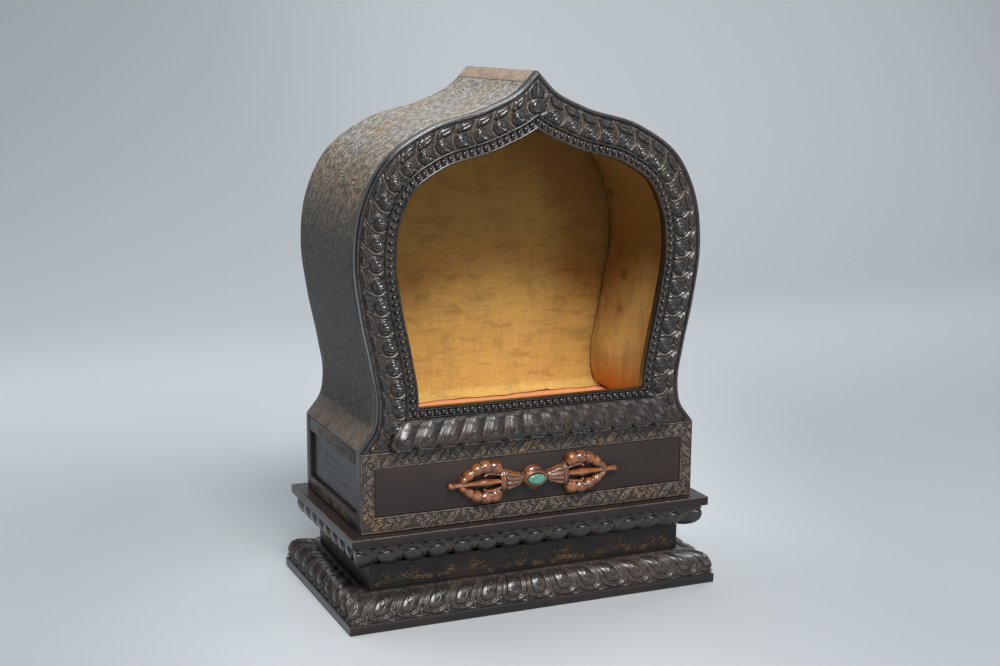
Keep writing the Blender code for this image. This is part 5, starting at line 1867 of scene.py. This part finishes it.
def skin_over(shape, rings):
    """A closed skin over rings of spots."""
    rings = [[shape.verts.new(on_panel(*spot)) for spot in ring] for ring in rings]
    sides = len(rings[0])
    for near, far in zip(rings, rings[1:]):
        for step in range(sides):
            beside = (step + 1) % sides
            shape.faces.new((near[step], near[beside], far[beside], far[step]))
    shape.faces.new(rings[0])
    shape.faces.new(rings[-1][::-1])


def add_ball(shape, centre, radii):
    """A closed ellipsoid."""
    made = bmesh.ops.create_uvsphere(shape, u_segments=20, v_segments=12, radius=1.0)
    for corner in made["verts"]:
        corner.co = on_panel(*(centre[axis] + corner.co[axis] * radii[axis] for axis in range(3)))


def add_oval(shape, rings, sides=40):
    """A closed stack of ovals about the middle: (half x, half z, out)."""
    turns = [2 * math.pi * step / sides for step in range(sides)]
    skin_over(shape, [[(half_x * math.cos(turn), out, half_z * math.sin(turn)) for turn in turns]
                      for half_x, half_z, out in rings])


def add_tube(shape, spine, sides=14):
    """A closed tube through (x, out, z, half width, half thickness) stations."""
    turns = [2 * math.pi * step / sides for step in range(sides)]
    rings = []
    for index, (x, out, z, half_width, half_out) in enumerate(spine):
        before = spine[max(index - 1, 0)]
        after = spine[min(index + 1, len(spine) - 1)]
        along = Vector((after[0] - before[0], after[2] - before[2])).normalized()
        ring = []
        for turn in turns:
            offset = half_width * math.cos(turn)
            ring.append((x - along.y * offset, out + half_out * math.sin(turn), z + along.x * offset))
        rings.append(ring)
    skin_over(shape, rings)


class SHRINE_OT_vajra(bpy.types.Operator):
    """The double-ended boxwood ornament on the front panel, and its stone"""

    bl_idname = "shrine.vajra"
    bl_label = "Ornament"

    def execute(self, context):
        shape = bmesh.new()
        add_oval(shape, [
            (8.9, 9.3, 0.0), (9.0, 9.4, 1.6), (8.5, 8.9, 2.4), (8.1, 8.5, 2.8), (8.6, 8.9, 3.4),
            (8.5, 8.8, 4.4), (7.4, 7.8, 5.4), (5.0, 5.4, 6.0)])
        add_oval(shape, [
            (9.2, 6.2, 3.6), (9.9, 6.9, 5.0), (9.8, 6.8, 6.4), (9.0, 6.0, 7.0), (8.8, 5.8, 7.3),
            (9.0, 5.9, 7.8), (8.4, 5.2, 8.2), (7.5, 4.3, 7.9), (7.2, 4.0, 7.0)])
        for side in (-1, 1):
            self.arm(shape, side)
        rough = linked("vajra_parts", mesh_from(shape, "vajra_parts"))
        skin = rough.modifiers.new("one skin", "REMESH")
        skin.mode = "VOXEL"
        skin.voxel_size = 0.00044
        ease = rough.modifiers.new("ease", "SMOOTH")
        ease.factor = 0.5
        ease.iterations = 1
        mesh = applied(rough)
        self.finish_skin(mesh)
        finished("vajra_carving", mesh, "boxwood", "boxwood", ["vajra"])
        self.stone()
        return {"FINISHED"}

    def arm(self, shape, side):
        """One collar, its two claws and the point between them."""
        add_tube(shape, [(side * x, out, 0.0, half, rise) for x, out, half, rise in (
            (8.6, 1.6, 4.2, 4.4), (10.4, 1.6, 3.8, 4.2), (11.6, 1.8, 4.9, 5.0), (12.4, 1.8, 4.8, 4.9),
            (15.5, 1.8, 5.6, 5.2), (19.5, 1.6, 7.2, 5.5), (23.0, 1.4, 8.4, 5.6), (24.0, 1.4, 8.1, 5.4),
            (24.6, 1.4, 9.3, 6.1), (25.8, 1.4, 9.1, 6.0), (26.2, 1.4, 8.2, 5.4), (27.2, 1.4, 8.3, 5.4),
            (27.8, 1.4, 7.0, 4.4))], 28)
        for petal in (-1.5, -0.5, 0.5, 1.5):
            flute = []
            for x, half, rise, spread, thick in (
                (12.8, 4.9, 5.0, 2.0, 0.7), (15.5, 5.6, 5.2, 2.4, 1.15),
                (19.5, 7.2, 5.5, 3.1, 1.5), (22.8, 8.3, 5.6, 3.6, 1.0),
            ):
                out = 1.8 + rise * math.sqrt(1.0 - (petal * spread / half) ** 2 * 0.98)
                flute.append((side * x, out - 0.2, petal * spread, thick, 1.0))
            add_tube(shape, flute, 12)
        spine = smooth_run([(27.6, 7.6), (31.2, 10.6), (37.4, 11.5), (43.8, 10.9), (49.6, 8.5),
                            (54.4, 5.4), (58.0, 2.6), (60.4, 0.8)], 9)
        bulk = np.interp(spine[:, 0], (27.6, 30.8, 37.4, 43.8, 49.6, 54.4, 58.5, 60.4),
                         (3.4, 5.5, 5.2, 4.8, 4.3, 3.7, 2.7, 1.5))
        swell = np.interp(spine[:, 0], (26.2, 35.4, 43.0, 49.8, 55.6, 61.2), range(6))
        bulk *= 0.68 + 0.33 * np.abs(np.sin(math.pi * swell)) ** 0.5
        for up in (-1, 1):
            add_tube(shape, [(side * x, 1.5, up * z, half, 2.6 + half * 0.60)
                             for (x, z), half in zip(spine, bulk)], 20)
            add_tube(shape, [(side * x, 2.2, up * z, 0.80, 3.4) for x, z in (
                (26.5, 4.6), (31.0, 5.6), (35.0, 6.6), (38.6, 6.6), (40.6, 5.6))], 10)
            add_ball(shape, (side * 40.4, 2.2, up * 5.4), (1.3, 3.6, 1.3))
        add_tube(shape, [(side * x, 2.8, 0.0, half, rise) for x, half, rise in (
            (26.0, 1.7, 3.2), (31.0, 1.8, 3.2), (36.0, 2.3, 3.5), (39.5, 3.0, 3.8), (43.5, 2.2, 3.3),
            (52.0, 1.7, 2.9), (60.0, 1.7, 2.7), (64.5, 2.0, 2.6), (67.6, 2.5, 2.8), (69.2, 2.0, 2.0))], 12)

    def finish_skin(self, mesh):
        """Flattens the back on the panel and marks hollows and crests by the bend of the surface."""
        mesh.name = "vajra_carving"
        count = len(mesh.vertices)
        points = np.empty(count * 3)
        mesh.vertices.foreach_get("co", points)
        points = points.reshape(-1, 3)
        points[:, 1] = np.minimum(points[:, 1], VAJRA_BACK)
        mesh.vertices.foreach_set("co", points.ravel())
        mesh.update()
        ends = np.empty(len(mesh.edges) * 2, dtype=np.int32)
        mesh.edges.foreach_get("vertices", ends)
        ends = ends.reshape(-1, 2)
        normals = np.empty(count * 3)
        mesh.vertices.foreach_get("normal", normals)
        normals = normals.reshape(-1, 3)
        step = points[ends[:, 1]] - points[ends[:, 0]]
        length = np.linalg.norm(step, axis=1) + 1e-9
        turn = np.sum((normals[ends[:, 1]] - normals[ends[:, 0]]) * step, axis=1) / length ** 2
        bend = np.zeros(count)
        shared = np.zeros(count)
        for end in (0, 1):
            np.add.at(bend, ends[:, end], turn)
            np.add.at(shared, ends[:, end], 1)
        bend /= np.maximum(shared, 1)
        for _ in range(2):
            total = np.zeros(count)
            np.add.at(total, ends[:, 0], bend[ends[:, 1]])
            np.add.at(total, ends[:, 1], bend[ends[:, 0]])
            bend = (bend + total / np.maximum(shared, 1)) / 2
        set_values(mesh, {"hollow": np.clip(-bend / 300.0, 0.0, 1.0),
                          "crest": np.clip((bend - 250.0) / 500.0, 0.0, 1.0)})
        mesh.shade_smooth()

    def stone(self):
        """The oval stone as a low dome."""
        low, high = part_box("turquoise_cabochon")
        half_x = (high[0] - low[0]) / 2
        half_z = (high[2] - low[2]) / 2
        sides = 48
        turns = np.linspace(0.0, 2 * math.pi, sides, endpoint=False)
        rows = []
        for share, out in ((1.0, 0.0), (1.0, 0.25), (0.97, 0.50), (0.90, 0.72), (0.76, 0.87), (0.55, 0.95),
                           (0.30, 0.99), (0.08, 1.0)):
            ring = np.stack((VAJRA_MIDDLE + np.cos(turns) * half_x * share,
                             BOX_MIDDLE + np.sin(turns) * half_z * share), -1)
            rows.append(upright(ring, high[1] + (low[1] - high[1]) * out))
        points = np.array(rows)
        faces = grid_faces(len(rows), sides, False, True)
        mesh = mesh_of("turquoise_stone", points, faces, row_caps(len(rows), sides))
        finished("turquoise_stone", mesh, "turquoise", "turquoise", ["turquoise_cabochon"])


# The panel, and running it all


class SHRINE_PT_sidebar(bpy.types.Panel):
    """The shrine's settings and pieces"""

    bl_idname = "SHRINE_PT_sidebar"
    bl_label = "Shrine"
    bl_space_type = "VIEW_3D"
    bl_region_type = "UI"
    bl_category = "Shrine"

    def draw(self, context):
        for group in (context.scene.shrine_sizes, context.scene.shrine_colours):
            for name in group.bl_rna.properties.keys():
                if name not in ("rna_type", "name"):
                    self.layout.prop(group, name)
        for operator in OPERATORS:
            self.layout.operator(operator.bl_idname)


OPERATORS = [
    SHRINE_OT_stage, SHRINE_OT_foot, SHRINE_OT_waist, SHRINE_OT_cornice, SHRINE_OT_box, SHRINE_OT_hood,
    SHRINE_OT_arch, SHRINE_OT_beads, SHRINE_OT_lotus, SHRINE_OT_lining, SHRINE_OT_vajra,
]
CLASSES = [ShrineSizes, ShrineColours, SHRINE_PT_sidebar] + OPERATORS


def register():
    """Registers the settings, operators and panel."""
    for item in CLASSES:
        bpy.utils.register_class(item)
    bpy.types.Scene.shrine_sizes = bpy.props.PointerProperty(type=ShrineSizes)
    bpy.types.Scene.shrine_colours = bpy.props.PointerProperty(type=ShrineColours)


def unregister():
    """Takes them away again."""
    del bpy.types.Scene.shrine_sizes
    del bpy.types.Scene.shrine_colours
    for item in reversed(CLASSES):
        bpy.utils.unregister_class(item)


def main():
    """Builds every piece in order."""
    register()
    for operator in OPERATORS:
        group, name = operator.bl_idname.split(".")
        getattr(getattr(bpy.ops, group), name)()


if __name__ == "__main__":
    main()
